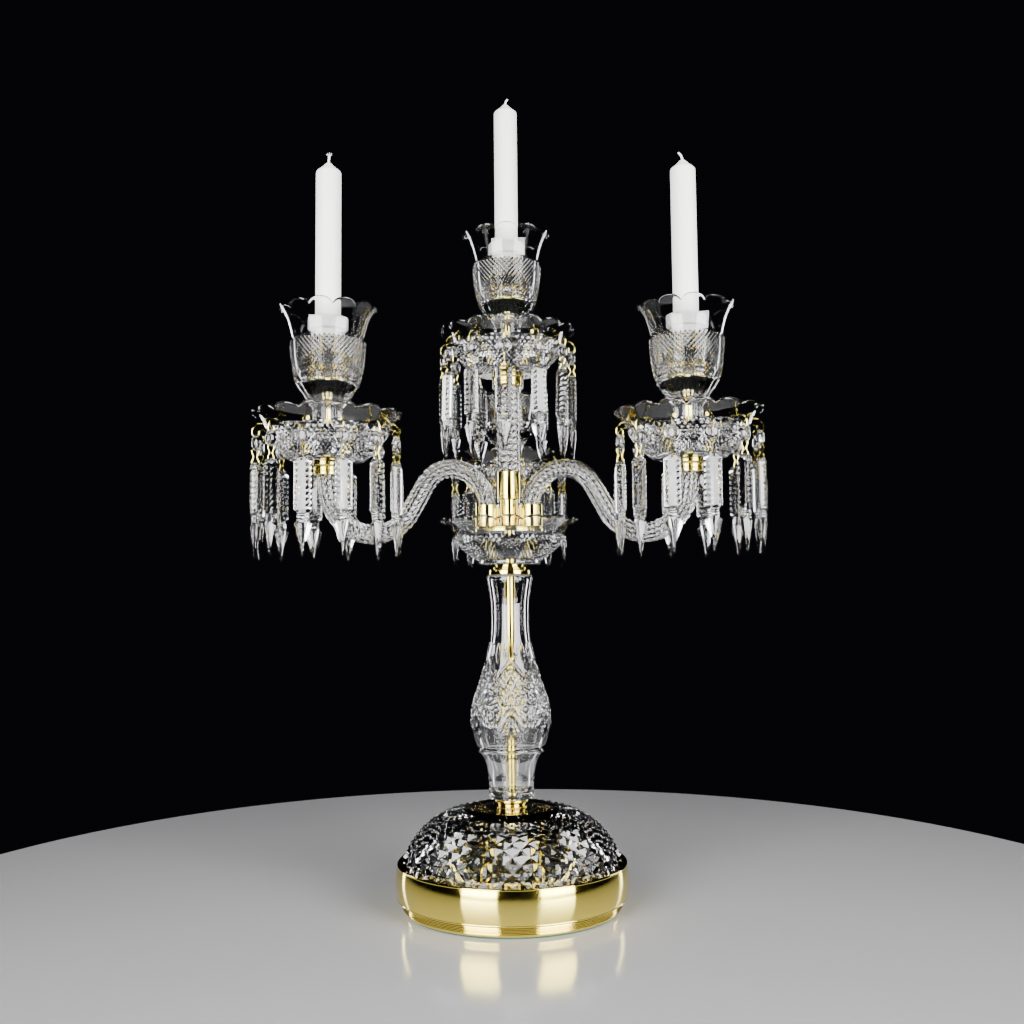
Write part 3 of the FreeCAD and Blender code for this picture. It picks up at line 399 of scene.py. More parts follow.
# ---------------------------------------------------------------------------------------- shared effects
class Effects:
    """Shader node groups that several finishes use."""

    def __init__(self) -> None:
        """Builds each group once."""
        self.hand_marks = self._build_hand_marks()
        self.fine_wear = self._build_fine_wear()
        self.turned_lines = self._build_turned_lines()
        self.edge_wear_and_shine = self._build_edge_wear_and_shine()

    @staticmethod
    def _start(name: str, inputs: dict[str, float], outputs: Sequence[str]) -> tuple:
        """Starts a group with named number sockets.

        Args:
            name: the group's name.
            inputs: each input and its usual value.
            outputs: the outputs' names.

        Returns:
            The group, its input node and its output node.
        """
        group = bpy.data.node_groups.new(name, "ShaderNodeTree")
        for word, usual in inputs.items():
            socket = group.interface.new_socket(word, in_out="INPUT", socket_type="NodeSocketFloat")
            socket.default_value = usual
        for word in outputs:
            group.interface.new_socket(word, in_out="OUTPUT", socket_type="NodeSocketFloat")
        return group, group.nodes.new("NodeGroupInput"), group.nodes.new("NodeGroupOutput")

    @staticmethod
    def _noise(group: Tree, scale: Socket, detail: float,
               stretch: tuple[float, float, float] = (1.0, 1.0, 1.0)) -> Socket:
        """Adds a noise over the piece's own coordinates, stretched along its axes, and returns its value."""
        place = group.nodes.new("ShaderNodeTexCoord")
        fit = group.nodes.new("ShaderNodeMapping")
        fit.inputs["Scale"].default_value = stretch
        noise = group.nodes.new("ShaderNodeTexNoise")
        noise.inputs["Detail"].default_value = detail
        group.links.new(place.outputs["Object"], fit.inputs["Vector"])
        group.links.new(fit.outputs["Vector"], noise.inputs["Vector"])
        group.links.new(scale, noise.inputs["Scale"])
        return noise.outputs["Fac"]

    @staticmethod
    def _keep(group: Tree, value: Socket, low: float, high: float) -> Socket:
        """Spreads a value from low..high to 0..1 and clips it."""
        fit = group.nodes.new("ShaderNodeMapRange")
        fit.inputs["From Min"].default_value = low
        fit.inputs["From Max"].default_value = high
        group.links.new(value, fit.inputs["Value"])
        return fit.outputs["Result"]

    @staticmethod
    def _times(group: Tree, a: Socket, b: Socket) -> Socket:
        """Multiplies two values."""
        node = group.nodes.new("ShaderNodeMath")
        node.operation = "MULTIPLY"
        group.links.new(a, node.inputs[0])
        group.links.new(b, node.inputs[1])
        return node.outputs["Value"]

    def _build_hand_marks(self) -> Tree:
        """Faint cloudy marks that handling leaves on a polished surface."""
        group, inside, outside = self._start("hand_marks", {"Scale": 40.0, "Amount": 0.05}, ["Roughness"])
        cloud = self._keep(group, self._noise(group, inside.outputs["Scale"], 4.0), 0.48, 0.75)
        group.links.new(self._times(group, cloud, inside.outputs["Amount"]), outside.inputs["Roughness"])
        return group

    def _build_fine_wear(self) -> Tree:
        """Very fine scratches and grain, as a mask and as a height."""
        group, inside, outside = self._start("fine_wear", {"Scale": 900.0, "Amount": 0.5}, ["Mask", "Height"])
        grain = self._noise(group, inside.outputs["Scale"], 6.0, (1.0, 1.0, 0.12))
        mask = self._keep(group, grain, 0.55, 0.8)
        group.links.new(self._times(group, mask, inside.outputs["Amount"]), outside.inputs["Mask"])
        group.links.new(self._times(group, grain, inside.outputs["Amount"]), outside.inputs["Height"])
        return group

    def _build_turned_lines(self) -> Tree:
        """The fine rings that a turning tool leaves, as a height."""
        group, inside, outside = self._start("turned_lines", {"Pitch": 900.0, "Amount": 0.4}, ["Height"])
        place = group.nodes.new("ShaderNodeTexCoord")
        apart = group.nodes.new("ShaderNodeSeparateXYZ")
        group.links.new(place.outputs["Object"], apart.inputs["Vector"])
        level = self._times(group, apart.outputs["Z"], inside.outputs["Pitch"])
        wave = group.nodes.new("ShaderNodeMath")
        wave.operation = "SINE"
        group.links.new(level, wave.inputs[0])
        height = self._times(group, wave.outputs["Value"], inside.outputs["Amount"])
        group.links.new(height, outside.inputs["Height"])
        return group

    def _build_edge_wear_and_shine(self) -> Tree:
        """Where edges and rims have been rubbed, with a painted highlight along them, as a mask."""
        group, inside, outside = self._start("edge_wear_and_shine", {"Scale": 120.0, "Amount": 0.6}, ["Mask"])
        shape = group.nodes.new("ShaderNodeNewGeometry")
        # Pointiness picks the convex edges, which are painted paler: partly rubbed wear, partly a painted
        # edge highlight.
        edge = self._keep(group, shape.outputs["Pointiness"], 0.51, 0.58)
        patch = self._keep(group, self._noise(group, inside.outputs["Scale"], 3.0), 0.35, 0.7)
        rubbed_and_shining = self._times(group, edge, patch)
        group.links.new(self._times(group, rubbed_and_shining, inside.outputs["Amount"]), outside.inputs["Mask"])
        return group


class Board:
    """One material being wired: its nodes, its Principled shader and short ways to join them."""

    def __init__(self, name: str) -> None:
        """Starts a material with its Principled shader."""
        self.material = bpy.data.materials.new(name)
        self.material.use_nodes = True
        self.nodes = self.material.node_tree.nodes
        self.links = self.material.node_tree.links
        self.shader = next(n for n in self.nodes if n.type == "BSDF_PRINCIPLED")

    def fix(self, **values: float | Colour | tuple[float, float, float]) -> None:
        """Sets plain values on the shader's own sockets, spaces in their names written as underscores."""
        for word, value in values.items():
            self.shader.inputs[word.replace("_", " ")].default_value = value

    def effect(self, group: Tree, **values: float) -> bpy.types.Node:
        """Places a shared group with its own values."""
        node = self.nodes.new("ShaderNodeGroup")
        node.node_tree = group
        for word, value in values.items():
            node.inputs[word].default_value = value
        return node

    def plus(self, value: Socket, base: float) -> Socket:
        """Adds a plain number to a value."""
        node = self.nodes.new("ShaderNodeMath")
        node.operation = "ADD"
        node.inputs[1].default_value = base
        self.links.new(value, node.inputs[0])
        return node.outputs["Value"]

    def blend(self, mask: Socket, first: Colour, second: Colour) -> Socket:
        """Mixes two colours by a mask."""
        node = self.nodes.new("ShaderNodeMix")
        node.data_type = "RGBA"
        self.links.new(mask, node.inputs["Factor"])
        node.inputs["A"].default_value = first
        node.inputs["B"].default_value = second
        return node.outputs["Result"]

    def join(self, value: Socket, socket: str) -> None:
        """Feeds a value into one of the shader's sockets."""
        self.links.new(value, self.shader.inputs[socket])

    def relief(self, height: Socket, distance: float, strength: float = 1.0) -> None:
        """Feeds a height into the shader's normal through a bump."""
        bump = self.nodes.new("ShaderNodeBump")
        bump.inputs["Distance"].default_value = distance
        bump.inputs["Strength"].default_value = strength
        self.links.new(height, bump.inputs["Height"])
        self.links.new(bump.outputs["Normal"], self.shader.inputs["Normal"])


# ---------------------------------------------------------------------------------------- finishes
@dataclass(frozen=True)
class Crystal:
    """Clear lead crystal, fire-polished and cut."""

    name: str = "cut_crystal"
    tint: Colour = (1.0, 1.0, 1.0, 1.0)
    ior: float = 1.55
    marks: float = 0.025

    def material(self, effects: Effects) -> bpy.types.Material:
        """Wires the material."""
        board = Board(self.name)
        board.fix(Base_Color=self.tint, IOR=self.ior, Metallic=0.0, Transmission_Weight=1.0)
        marks = board.effect(effects.hand_marks, Scale=55.0, Amount=self.marks)
        board.join(board.plus(marks.outputs["Roughness"], 0.0), "Roughness")
        return board.material


@dataclass(frozen=True)
class Brass:
    """Light yellow brass, machine polished."""

    name: str = "polished_brass"
    colour: Colour = (0.84, 0.68, 0.13, 1.0)
    # Paler yellow for sharp edges: rubbed wear and a painted edge highlight.
    worn_and_shine: Colour = (0.90, 0.80, 0.30, 1.0)
    roughness: float = 0.07
    lines: float = 0.25

    def material(self, effects: Effects) -> bpy.types.Material:
        """Wires the material."""
        board = Board(self.name)
        board.fix(Metallic=1.0)
        # Sharp edges are painted paler: partly rubbed wear, partly a painted highlight.
        wear_and_shine = board.effect(effects.edge_wear_and_shine, Scale=90.0, Amount=0.7)
        board.join(board.blend(wear_and_shine.outputs["Mask"], self.colour, self.worn_and_shine), "Base Color")
        marks = board.effect(effects.hand_marks, Scale=30.0, Amount=0.12)
        board.join(board.plus(marks.outputs["Roughness"], self.roughness), "Roughness")
        turned = board.effect(effects.turned_lines, Pitch=9000.0, Amount=self.lines)
        board.relief(turned.outputs["Height"], 0.00001)
        return board.material


@dataclass(frozen=True)
class Wax:
    """White candle wax: a soft, slightly see-through body with a faint grain."""

    name: str = "white_wax"
    colour: Colour = (0.90, 0.89, 0.86, 1.0)
    shade: Colour = (0.84, 0.83, 0.79, 1.0)

    def material(self, effects: Effects) -> bpy.types.Material:
        """Wires the material."""
        board = Board(self.name)
        board.fix(Subsurface_Weight=0.25, Subsurface_Scale=0.004, Subsurface_Radius=(1.0, 0.9, 0.75),
                  IOR=1.44)
        grain = board.effect(effects.fine_wear, Scale=260.0, Amount=0.6)
        board.join(board.blend(grain.outputs["Mask"], self.colour, self.shade), "Base Color")
        marks = board.effect(effects.hand_marks, Scale=60.0, Amount=0.2)
        board.join(board.plus(marks.outputs["Roughness"], 0.42), "Roughness")
        board.relief(grain.outputs["Height"], 0.00008)
        return board.material


@dataclass(frozen=True)
class Matt:
    """A plain matt or satin finish with its own grain: moulding, cotton, felt, iron, steel or seal."""

    name: str
    colour: Colour
    shade: Colour
    roughness: float
    grain: float
    height: float
    metallic: float = 0.0
    sheen: float = 0.0

    def material(self, effects: Effects) -> bpy.types.Material:
        """Wires the material."""
        board = Board(self.name)
        board.fix(Metallic=self.metallic, Sheen_Weight=self.sheen)
        grain = board.effect(effects.fine_wear, Scale=self.grain, Amount=0.9)
        board.join(board.blend(grain.outputs["Mask"], self.colour, self.shade), "Base Color")
        marks = board.effect(effects.hand_marks, Scale=45.0, Amount=0.15)
        board.join(board.plus(marks.outputs["Roughness"], self.roughness), "Roughness")
        board.relief(grain.outputs["Height"], self.height)
        return board.material


class Finishes:
    """Every material of the piece, made once."""

    def __init__(self) -> None:
        """Makes the shared effects and then each finish."""
        effects = Effects()
        self.crystal = Crystal().material(effects)
        self.brass = Brass().material(effects)
        self.wax = Wax().material(effects)
        self.collar = Matt("collar_moulding", (0.88, 0.88, 0.87, 1), (0.80, 0.80, 0.79, 1), 0.32, 300,
                           2e-5).material(effects)
        self.cotton = Matt("wick_cotton", (0.86, 0.84, 0.78, 1), (0.62, 0.59, 0.52, 1), 0.85, 2600, 1e-4,
                           sheen=0.3).material(effects)
        self.felt = Matt("green_felt", (0.02, 0.07, 0.04, 1), (0.05, 0.12, 0.08, 1), 0.95, 1800, 3e-4,
                         sheen=0.6).material(effects)
        self.iron = Matt("painted_iron", (0.03, 0.03, 0.032, 1), (0.09, 0.08, 0.075, 1), 0.6, 500,
                         2e-4).material(effects)
        self.steel = Matt("bright_steel", (0.56, 0.56, 0.57, 1), (0.40, 0.40, 0.41, 1), 0.28, 900, 2e-5,
                          metallic=1.0).material(effects)
        self.seal = Matt("soft_seal", (0.05, 0.05, 0.05, 1), (0.03, 0.03, 0.03, 1), 0.6, 700,
                         1e-4).material(effects)


# ---------------------------------------------------------------------------------------- places
def low_of(node: str) -> float:
    """The lowest level of a CAD node, in millimetres."""
    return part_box(node)[0].z / MM


def high_of(node: str) -> float:
    """The highest level of a CAD node, in millimetres."""
    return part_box(node)[1].z / MM


def foot_of(node: str) -> Vector:
    """The point of the frame's own axis at a CAD node's lowest level, in millimetres."""
    return Vector((0, 0, low_of(node)))


def middle_of(node: str) -> Vector:
    """The centre line of a CAD node: the middle of its box, at level zero, in millimetres."""
    low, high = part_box(node)
    return Vector(((low.x + high.x) / 2 / MM, (low.y + high.y) / 2 / MM, 0.0))


@dataclass
class Bench:
    """Where pieces are finished: it knows the materials and puts each piece in the frame."""

    finishes: Finishes
    made: int = 0

    def fit(self, name: str, draft: MeshDraft, finish: str, nodes: Sequence[str], place: Matrix | None = None,
            body: str = STAND, crease: float = 32.0) -> bpy.types.Object:
        """Makes a piece from a draft and puts it in the frame.

        Args:
            name: the piece's name.
            draft: its shape, in millimetres.
            finish: the name of its material among the finishes.
            nodes: the CAD nodes that it stands for.
            place: where the draft's origin goes, in millimetres, or None for the frame's origin.
            body: the body that it rides on.
            crease: edges sharper than this many degrees stay sharp.

        Returns:
            The piece.
        """
        whole = MeshDraft()
        whole.take(draft, place or Matrix())
        obj = bpy.data.objects.new(name, whole.mesh(name, crease))
        bpy.context.scene.collection.objects.link(obj)
        obj.data.materials.append(getattr(self.finishes, finish))
        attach(obj, body)
        if nodes:
            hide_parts(*nodes)
        self.made += 1
        log.info("%s: %d faces in %s on %s", name, len(whole.faces), finish, body)
        return obj

    def turn(self, name: str, outline: Sequence[Pair], finish: str, nodes: Sequence[str], place: Vector,
             columns: int = 128, closed: bool = True, body: str = STAND) -> bpy.types.Object:
        """Makes a plain turned piece at a place and puts it in the frame."""
        draft = MeshDraft()
        draft.turned(outline, columns, closed)
        return self.fit(name, draft, finish, nodes, Matrix.Translation(place), body)


# ---------------------------------------------------------------------------------------- cut glass
@dataclass(frozen=True)
class DiamondCut:
    """Rows of four-sided pyramids between crossing cuts."""

    around: int
    rows: int
    depth: float
    shrink: float = 0.0

    def rings(self, draft: MeshDraft, track: Track) -> list[list[int]]:
        """Draws the rows.

        Args:
            draft: where they are drawn.
            track: the outline that the pyramids' points touch.

        Returns:
            The rings, from the track's start to its end.
        """
        largest = max(p[0] for p in track.points)
        made = []
        for row in range(self.rows + 1):
            share = row / self.rows
            size = self.depth * (track.at(share)[0] / largest) ** self.shrink
            made.append(draft.round(2 * self.around, lambda i: self._place(track, share, row, i, size)))
        for row, (low, high) in enumerate(zip(made, made[1:])):
            draft.band(low, high, Facet.FLAT, row)
        return made

    def _place(self, track: Track, share: float, row: int, column: int, size: float) -> Pair:
        """A pyramid's point on the track, or a crossing of two cuts below it."""
        raised = (row + column) % 2 == 1 and 0 < row < self.rows
        return track.at(share, 0.0 if raised else -size)


@dataclass(frozen=True)
class ScallopedBand:
    """A smooth flared band that ends in round lobes with cusps between them."""

    lobes: int
    columns: int
    drop: float
    wall: float
    edge_wall: float
    rows: int = 9

    def rings(self, draft: MeshDraft, track: Track) -> list[list[int]]:
        """Draws the band up its outside, over its polished edge and down its inside.

        Args:
            draft: where it is drawn.
            track: its outside, going up.

        Returns:
            All its rings in that order.
        """
        made = [self._ring(draft, track, row / self.rows, 0.0, 0.0) for row in range(self.rows + 1)]
        half = self.edge_wall / 2
        for step in range(1, 6):
            turn = math.pi * step / 6
            over = half * math.sin(turn) / track.length
            made.append(self._ring(draft, track, 1.0, half * (math.cos(turn) - 1), over))
        for row in range(self.rows, -1, -1):
            share = row / self.rows
            wall = self.wall + (self.edge_wall - self.wall) * share
            made.append(self._ring(draft, track, share, -wall, 0.0))
        for low, high in zip(made, made[1:]):
            draft.band(low, high)
        return made

    def _ring(self, draft: MeshDraft, track: Track, share: float, lift: float, over: float) -> list[int]:
        """One ring of the band: at a share of its height, lifted off its outside, a little over its end."""
        def place(column: int) -> Pair:
            """The height of the band at one column follows the lobes."""
            across = 2 * ((column * self.lobes / self.columns + 0.5) % 1.0) - 1
            lobe = 1 - math.sqrt(1 - (0.96 * across) ** 2)
            return track.at(share * (1 - self.drop / track.length * lobe * share ** 1.5) + over, lift)
        return draft.round(self.columns, place)


def join_up(draft: MeshDraft, rings: Sequence[list[int]], facet: Facet = Facet.SMOOTH) -> None:
    """Fills the bands between rings that follow each other."""
    for low, high in zip(rings, rings[1:]):
        draft.band(low, high, facet)


def plain_rings(draft: MeshDraft, outline: Sequence[Pair], columns: int) -> list[list[int]]:
    """Adds a plain ring for each point of an outline."""
    return [draft.round(columns, lambda _, p=p: p) for p in outline]


@dataclass(frozen=True)
class Dish:
    """A drip pan or the receiver bowl: a diamond-cut underside and a scalloped rim round a flat floor."""

    bore: float
    foot: float
    foot_height: float
    edge: float
    edge_height: float
    floor: float
    rim: float
    rim_height: float
    wall: float = 3.0
    cut: DiamondCut = DiamondCut(64, 11, 2.1, 1.0)
    band: ScallopedBand = ScallopedBand(16, 256, 8.0, 2.6, 2.2)

    def draft(self) -> MeshDraft:
        """Draws the dish with its underside's centre at the origin."""
        draft = MeshDraft()
        columns = 2 * self.cut.around
        foot = plain_rings(draft, trace([
            (self.bore, 0), (self.foot - 1.0, 0), (self.foot, 0.8, -0.2),
            (self.foot, self.foot_height)], 3), columns)
        join_up(draft, foot)
        cut = self.cut.rings(draft, Track(bow(
            (self.foot, self.foot_height), (self.edge, self.edge_height), -2.2, 16), 1.0))
        draft.band(foot[-1], cut[0])
        band = self.band.rings(draft, Track(bow(
            (self.edge, self.edge_height + 0.6), (self.rim, self.rim_height), 1.4, 12)))
        draft.band(cut[-1], band[0])
        inside = self.edge - self.wall
        floor = plain_rings(draft, trace([
            (inside - 1.6, self.floor, 0.3), (inside * 0.7, self.floor), (self.bore, self.floor)]), columns)
        draft.band(band[-1], floor[0])
        join_up(draft, [*floor, foot[0]])
        return draft


# ---------------------------------------------------------------------------------------- base
@dataclass
class Base:
    """Foot ring, skirt, cut dome and the coupling on it, with the plain pieces hidden inside."""

    foot_radius: float = 100.0
    foot_height: float = 8.8
    foot_wall: float = 8.0
    foot_lines: int = 4
    skirt_radius: float = 105.0
    skirt_height: float = 31.6
    skirt_wall: float = 2.4
    skirt_belly: float = 1.5
    deck_under: float = 23.6
    deck_top: float = 25.6
    rod_bore: float = 5.15
    dome_rim: float = 102.2
    dome_top: float = 44.0
    dome_height: float = 53.8
    dome_bulge: float = 12.5
    dome_wall: float = 6.0
    dome_cut: DiamondCut = DiamondCut(36, 14, 3.8, 1.0)
    coupling_radius: float = 15.9
    coupling_waist: float = 12.5
    coupling_height: float = 7.7

    def build(self, bench: Bench) -> None:
        """Builds the base's pieces.

        Args:
            bench: where they are finished.
        """
        self._foot_ring(bench)
        self._skirt(bench)
        self._dome(bench)
        self._coupling(bench)
        for node, finish in (("base_felt", bench.finishes.felt), ("base_weight", bench.finishes.iron),
                             ("base_washer", bench.finishes.steel), ("base_nut", bench.finishes.steel)):
            dress(node, finish)

    def _foot_ring(self, bench: Bench) -> None:
        """The brass foot ring with its turned lines."""
        inner, outer, top = self.foot_radius - self.foot_wall, self.foot_radius, self.foot_height
        outline: list[Sequence[float]] = [(inner, 0), (outer - 1.5, 0), (outer, 1.5, -0.4)]
        pitch = (top - 3.0) / (self.foot_lines + 1)
        for line in range(1, self.foot_lines + 1):
            level = 1.5 + pitch * line
            outline += [(outer, level - 0.35), (outer - 0.4, level), (outer, level + 0.35)]
        outline += [(outer, top - 1.5), (outer - 1.5, top, -0.4), (inner, top)]
        bench.turn("foot_ring", trace(outline, 5), "brass", ["base_foot_ring"],
                   foot_of("base_foot_ring"), 192)

    def _skirt(self, bench: Bench) -> None:
        """The spun brass skirt with its deck."""
        outer, top = self.skirt_radius, self.skirt_height
        inner = outer - self.skirt_wall
        outline = trace([
            (outer - 12.0, 0), (outer - 3.4, 0), (outer - 2.2, 0.5, -0.15), (outer - 0.6, 1.0, 0.2),
            (outer, 2.2, -0.4), (outer, top - 1.6, -self.skirt_belly), (outer - 0.5, top - 0.3, -0.3),
            (outer - 1.2, top, -0.1), (inner, top), (inner, self.deck_top), (self.rod_bore, self.deck_top),
            (self.rod_bore, self.deck_under), (inner, self.deck_under), (inner, 2.0),
            (outer - 12.0, 2.0)], 12)
        bench.turn("skirt", outline, "brass", ["base_skirt"], foot_of("base_skirt"), 256)

    def _dome(self, bench: Bench) -> None:
        """The cut-glass dome with its flat polished top."""
        draft = MeshDraft()
        columns = 2 * self.dome_cut.around
        mouth, edge = self.dome_rim - self.dome_wall, self.dome_rim - 1.5
        rim = plain_rings(draft, [(mouth, 0), (edge, 0), (edge, 1.0)], columns)
        join_up(draft, rim)
        track = Track(bow((self.dome_rim, 1.8), (self.dome_top, self.dome_height), -self.dome_bulge, 24), 1.0)
        cut = self.dome_cut.rings(draft, track)
        draft.band(rim[-1], cut[0])
        disc, low = self.dome_height, self.dome_height - self.dome_wall
        top = plain_rings(draft, [
            (self.dome_top - 2.2, disc), (30.0, disc), (self.rod_bore, disc), (self.rod_bore, low),
            (28.0, low)], columns)
        draft.band(cut[-1], top[0], Facet.FLAT)
        join_up(draft, top)
        hollow = bow((self.dome_top - 2.0, low), (mouth, 0), self.dome_bulge, 16)
        inner = plain_rings(draft, hollow, columns)
        draft.band(top[-1], inner[0])
        join_up(draft, inner[:-1])
        draft.band(inner[-2], rim[0])
        bench.fit("cut_dome", draft, "crystal", ["base_dome"], Matrix.Translation(foot_of("base_dome")))

    def _coupling(self, bench: Bench) -> None:
        """The turned brass coupling between the dome and the column."""
        waist, outer = self.coupling_waist, self.coupling_radius
        top, bore = self.coupling_height, self.rod_bore
        outline = trace([
            (bore, 0), (outer - 2.0, 0), (outer - 1.2, 0.9, -0.25), (waist, 2.2, 0.2), (waist, 3.2),
            (waist + 1.6, 4.0, -0.3), (waist, 4.8, -0.3), (outer - 0.4, top - 2.2, 0.5),
            (outer, top - 1.6, -0.1), (outer, top - 0.4), (outer - 0.4, top), (bore, top)], 6)
        bench.turn("column_coupling", outline, "brass", ["base_coupling"], foot_of("base_coupling"))


def dress(node: str, finish: bpy.types.Material) -> None:
    """Gives a carried-over CAD node its material."""
    obj = bpy.data.objects[node]
    obj.data.materials.clear()
    obj.data.materials.append(finish)


# ---------------------------------------------------------------------------------------- column
@dataclass
class Column:
    """The hollow baluster with its cut bulb, the rod inside it and the flange on top."""

    rod_radius: float = 5.0
    rod_bore: float = 5.15
    height: float = 202.8
    columns: int = 288
    panels: int = 6
    cut_low: float = 53.0
    cut_high: float = 146.0
    cut_rows: int = 100
    arch_point: float = 121.5
    arch_foot: float = 106.0
    chevron_point: float = 84.7
    diamond_height: float = 13.8
    leaf_depth: float = 1.5
    seat_radius: float = 13.4
    flange_radius: float = 20.1
    flange_height: float = 9.7

    def build(self, bench: Bench) -> None:
        """Builds the column's pieces.

        Args:
            bench: where they are finished.
        """
        self._glass(bench)
        length = high_of("support_rod") - low_of("support_rod")
        thread = [(self.rod_radius - 0.35 * (n % 2), 1.0 + 0.75 * n) for n in range(40)]
        rod = [(0.0, 0.0), (self.rod_radius - 0.8, 0.0), *thread, (self.rod_radius, 32.0),
               (self.rod_radius, length - 0.6), (self.rod_radius - 0.6, length), (0.0, length)]
        bench.turn("clamping_rod", rod, "brass", ["support_rod"], foot_of("support_rod"), 64, False)
        outer, top = self.flange_radius, self.flange_height
        flange = trace([
            (self.rod_bore, 0), (outer - 0.8, 0), (outer, 0.8, -0.2), (outer, 4.1), (outer - 0.8, 4.9, -0.2),
            (outer - 4.4, 5.3), (outer - 4.0, 6.4, -0.3), (outer - 4.4, 7.3, -0.3), (self.seat_radius, 7.9),
            (self.seat_radius, top - 0.3), (self.seat_radius - 0.3, top), (self.rod_bore, top)], 5)
        bench.turn("column_flange_ring", flange, "brass", ["column_flange"], foot_of("column_flange"))
        dress("column_seals", bench.finishes.seal)

    def _glass(self, bench: Bench) -> None:
        """The baluster: plain foot, ring, cut bulb, plain neck and flared lip over a smooth bore."""
        foot = trace([(self.rod_bore, 0), (19.9, 0), (20.7, 0.8, -0.2)], 3)
        skirt = flowing([(20.7, 0.8), (20.9, 12.0), (21.9, 24.0), (24.4, 34.0), (27.6, 40.0)], 5)[1:]
        ring = trace([(29.2, 41.2), (30.9, 42.6, -0.5), (31.1, 44.6, -0.3), (30.2, 46.0, -0.5),
                      (31.0, 46.8), (31.8, 47.8, -0.3)], 4)
        outside = Track(flowing([
            (31.8, 47.8), (34.8, 55.0), (37.2, 64.0), (37.4, 73.0), (35.6, 86.0), (31.4, 100.0),
            (26.2, 116.0), (22.0, 132.0), (19.2, 146.0), (18.3, 160.0), (18.6, 176.0), (20.2, 189.0),
            (21.5, 196.5)], 6))
        lip = trace([(21.7, 197.5), (21.7, 201.4, -0.3), (20.9, self.height, -0.2), (17.0, self.height),
                     (16.2, 202.2)], 4)
        inside = flowing([
            (15.6, 197.0), (13.6, 184.0), (12.9, 172.8), (12.9, 158.0), (14.6, 140.0), (19.0, 120.0),
            (24.6, 100.0), (29.6, 84.0), (31.4, 72.0), (29.2, 58.0), (25.4, 47.0), (21.0, 38.0),
            (16.4, 24.0), (15.2, 10.0), (13.4, 6.2)], 4)
        draft = MeshDraft()
        half = self.columns // 2
        rings = plain_rings(draft, [*foot, *skirt, *ring], half)
        shares = self._cut_shares(outside)
        rings += [draft.round(self.columns, lambda i, s=s: self._surface(outside, s, i)) for s in shares]
        rings += plain_rings(draft, [*lip, *inside, (self.rod_bore, 6.0)], half)
        join_up(draft, [*rings, rings[0]])
        turned = Matrix.Rotation(math.radians(FRONT_TURN), 4, "Z")
        bench.fit("cut_baluster", draft, "crystal", ["column_glass"],
                  Matrix.Translation(foot_of("column_glass")) @ turned)

    def _cut_shares(self, outside: Track) -> list[float]:
        """Where rings stand on the outside: close together through the cut part, wider elsewhere."""
        fine = [share / 1000 for share in range(1001)]
        levels = [outside.at(share)[1] for share in fine]
        made, last = [0.0], levels[0]
        step = (self.cut_high - self.cut_low) / self.cut_rows
        for share, level in zip(fine, levels):
            wanted = step if self.cut_low <= level <= self.cut_high else 4 * step
            if level - last >= wanted:
                made.append(share)
                last = level
        return [*made, 1.0]

    def _surface(self, outside: Track, share: float, column: int) -> Pair:
        """The outside of the bulb at one column, with its cuts."""
        across, up = outside.at(share)
        panel = (column * self.panels / self.columns + 0.5) % 1.0 - 0.5
        sideways = panel * math.tau * across / self.panels
        return outside.at(share, -self._cut_depth(sideways, up, math.pi * across / self.panels))

    def _cut_depth(self, sideways: float, up: float, edge: float) -> float:
        """How deep the glass is cut at a place on one panel.

        Args:
            sideways: the way round from the panel's centre line, in millimetres.
            up: the level above the column's foot.
            edge: how far the panel's edge is from its centre line at that level.

        Returns:
            The depth, in millimetres.
        """
        side = abs(sideways)
        cuts = [0.0]
        if up > self.arch_foot:
            arch_gap = (side - 0.95 * (self.arch_point - up)) * 0.72
        else:
            arch_gap = side - 14.7 - 0.42 * (self.arch_foot - up)
        if 92.0 < up < 132.0:
            cuts += [groove(abs(arch_gap), 1.4, 1.3), groove(arch_gap - 3.0, 1.0, 0.8)]
        chevron_gap = (self.chevron_point - 1.18 * side - up) * 0.65
        if side < 13.5 and up < 94.0:
            cuts += [groove(chevron_gap, 1.4, 1.3), groove(chevron_gap + 3.0, 1.0, 0.8)]
        if arch_gap < -1.0 and chevron_gap < -1.2 and up > 66.0:
            lines = [(sideways * 1.57 + way * (up - self.chevron_point)) % self.diamond_height
                     for way in (1, -1)]
            near = [min(line, self.diamond_height - line) * 0.537 for line in lines]
            cuts += [groove(gap, 1.5, 1.2) for gap in near]
            cuts.append(groove(math.dist(near, (3.7, 3.7)), 2.0, 1.0))
        for leaf in range(-2, 3):
            cuts.append(self._leaf(sideways - 2.6 * leaf, up - 68.5, 0.24 * leaf, 10.5 - abs(leaf), 1.9))
        cuts.append(self._leaf(edge - side, up - self.arch_foot, 0.0, 12.0, 2.0))
        cuts.append(self._leaf(edge - side, up - 132.0, 0.0, 10.0, 2.2))
        cuts.append(self._leaf(side - 0.45 * edge, up - 134.0, 0.0, 8.0, 1.8))
        return max(cuts)

    def _leaf(self, sideways: float, up: float, lean: float, half_length: float, half_width: float) -> float:
        """The depth of one pointed leaf cut, given the place from its middle, its lean and its size."""
        along = up * math.cos(lean) - sideways * math.sin(lean)
        across = abs(sideways * math.cos(lean) + up * math.sin(lean))
        reach = 1 - (along / half_length) ** 2
        if reach <= 0:
            return 0.0
        return self.leaf_depth * max(0.0, reach - across / half_width)


def groove(gap: float, half_width: float, depth: float) -> float:
    """The depth of a straight V cut at a distance from its line."""
    return depth * max(0.0, 1 - abs(gap) / half_width)


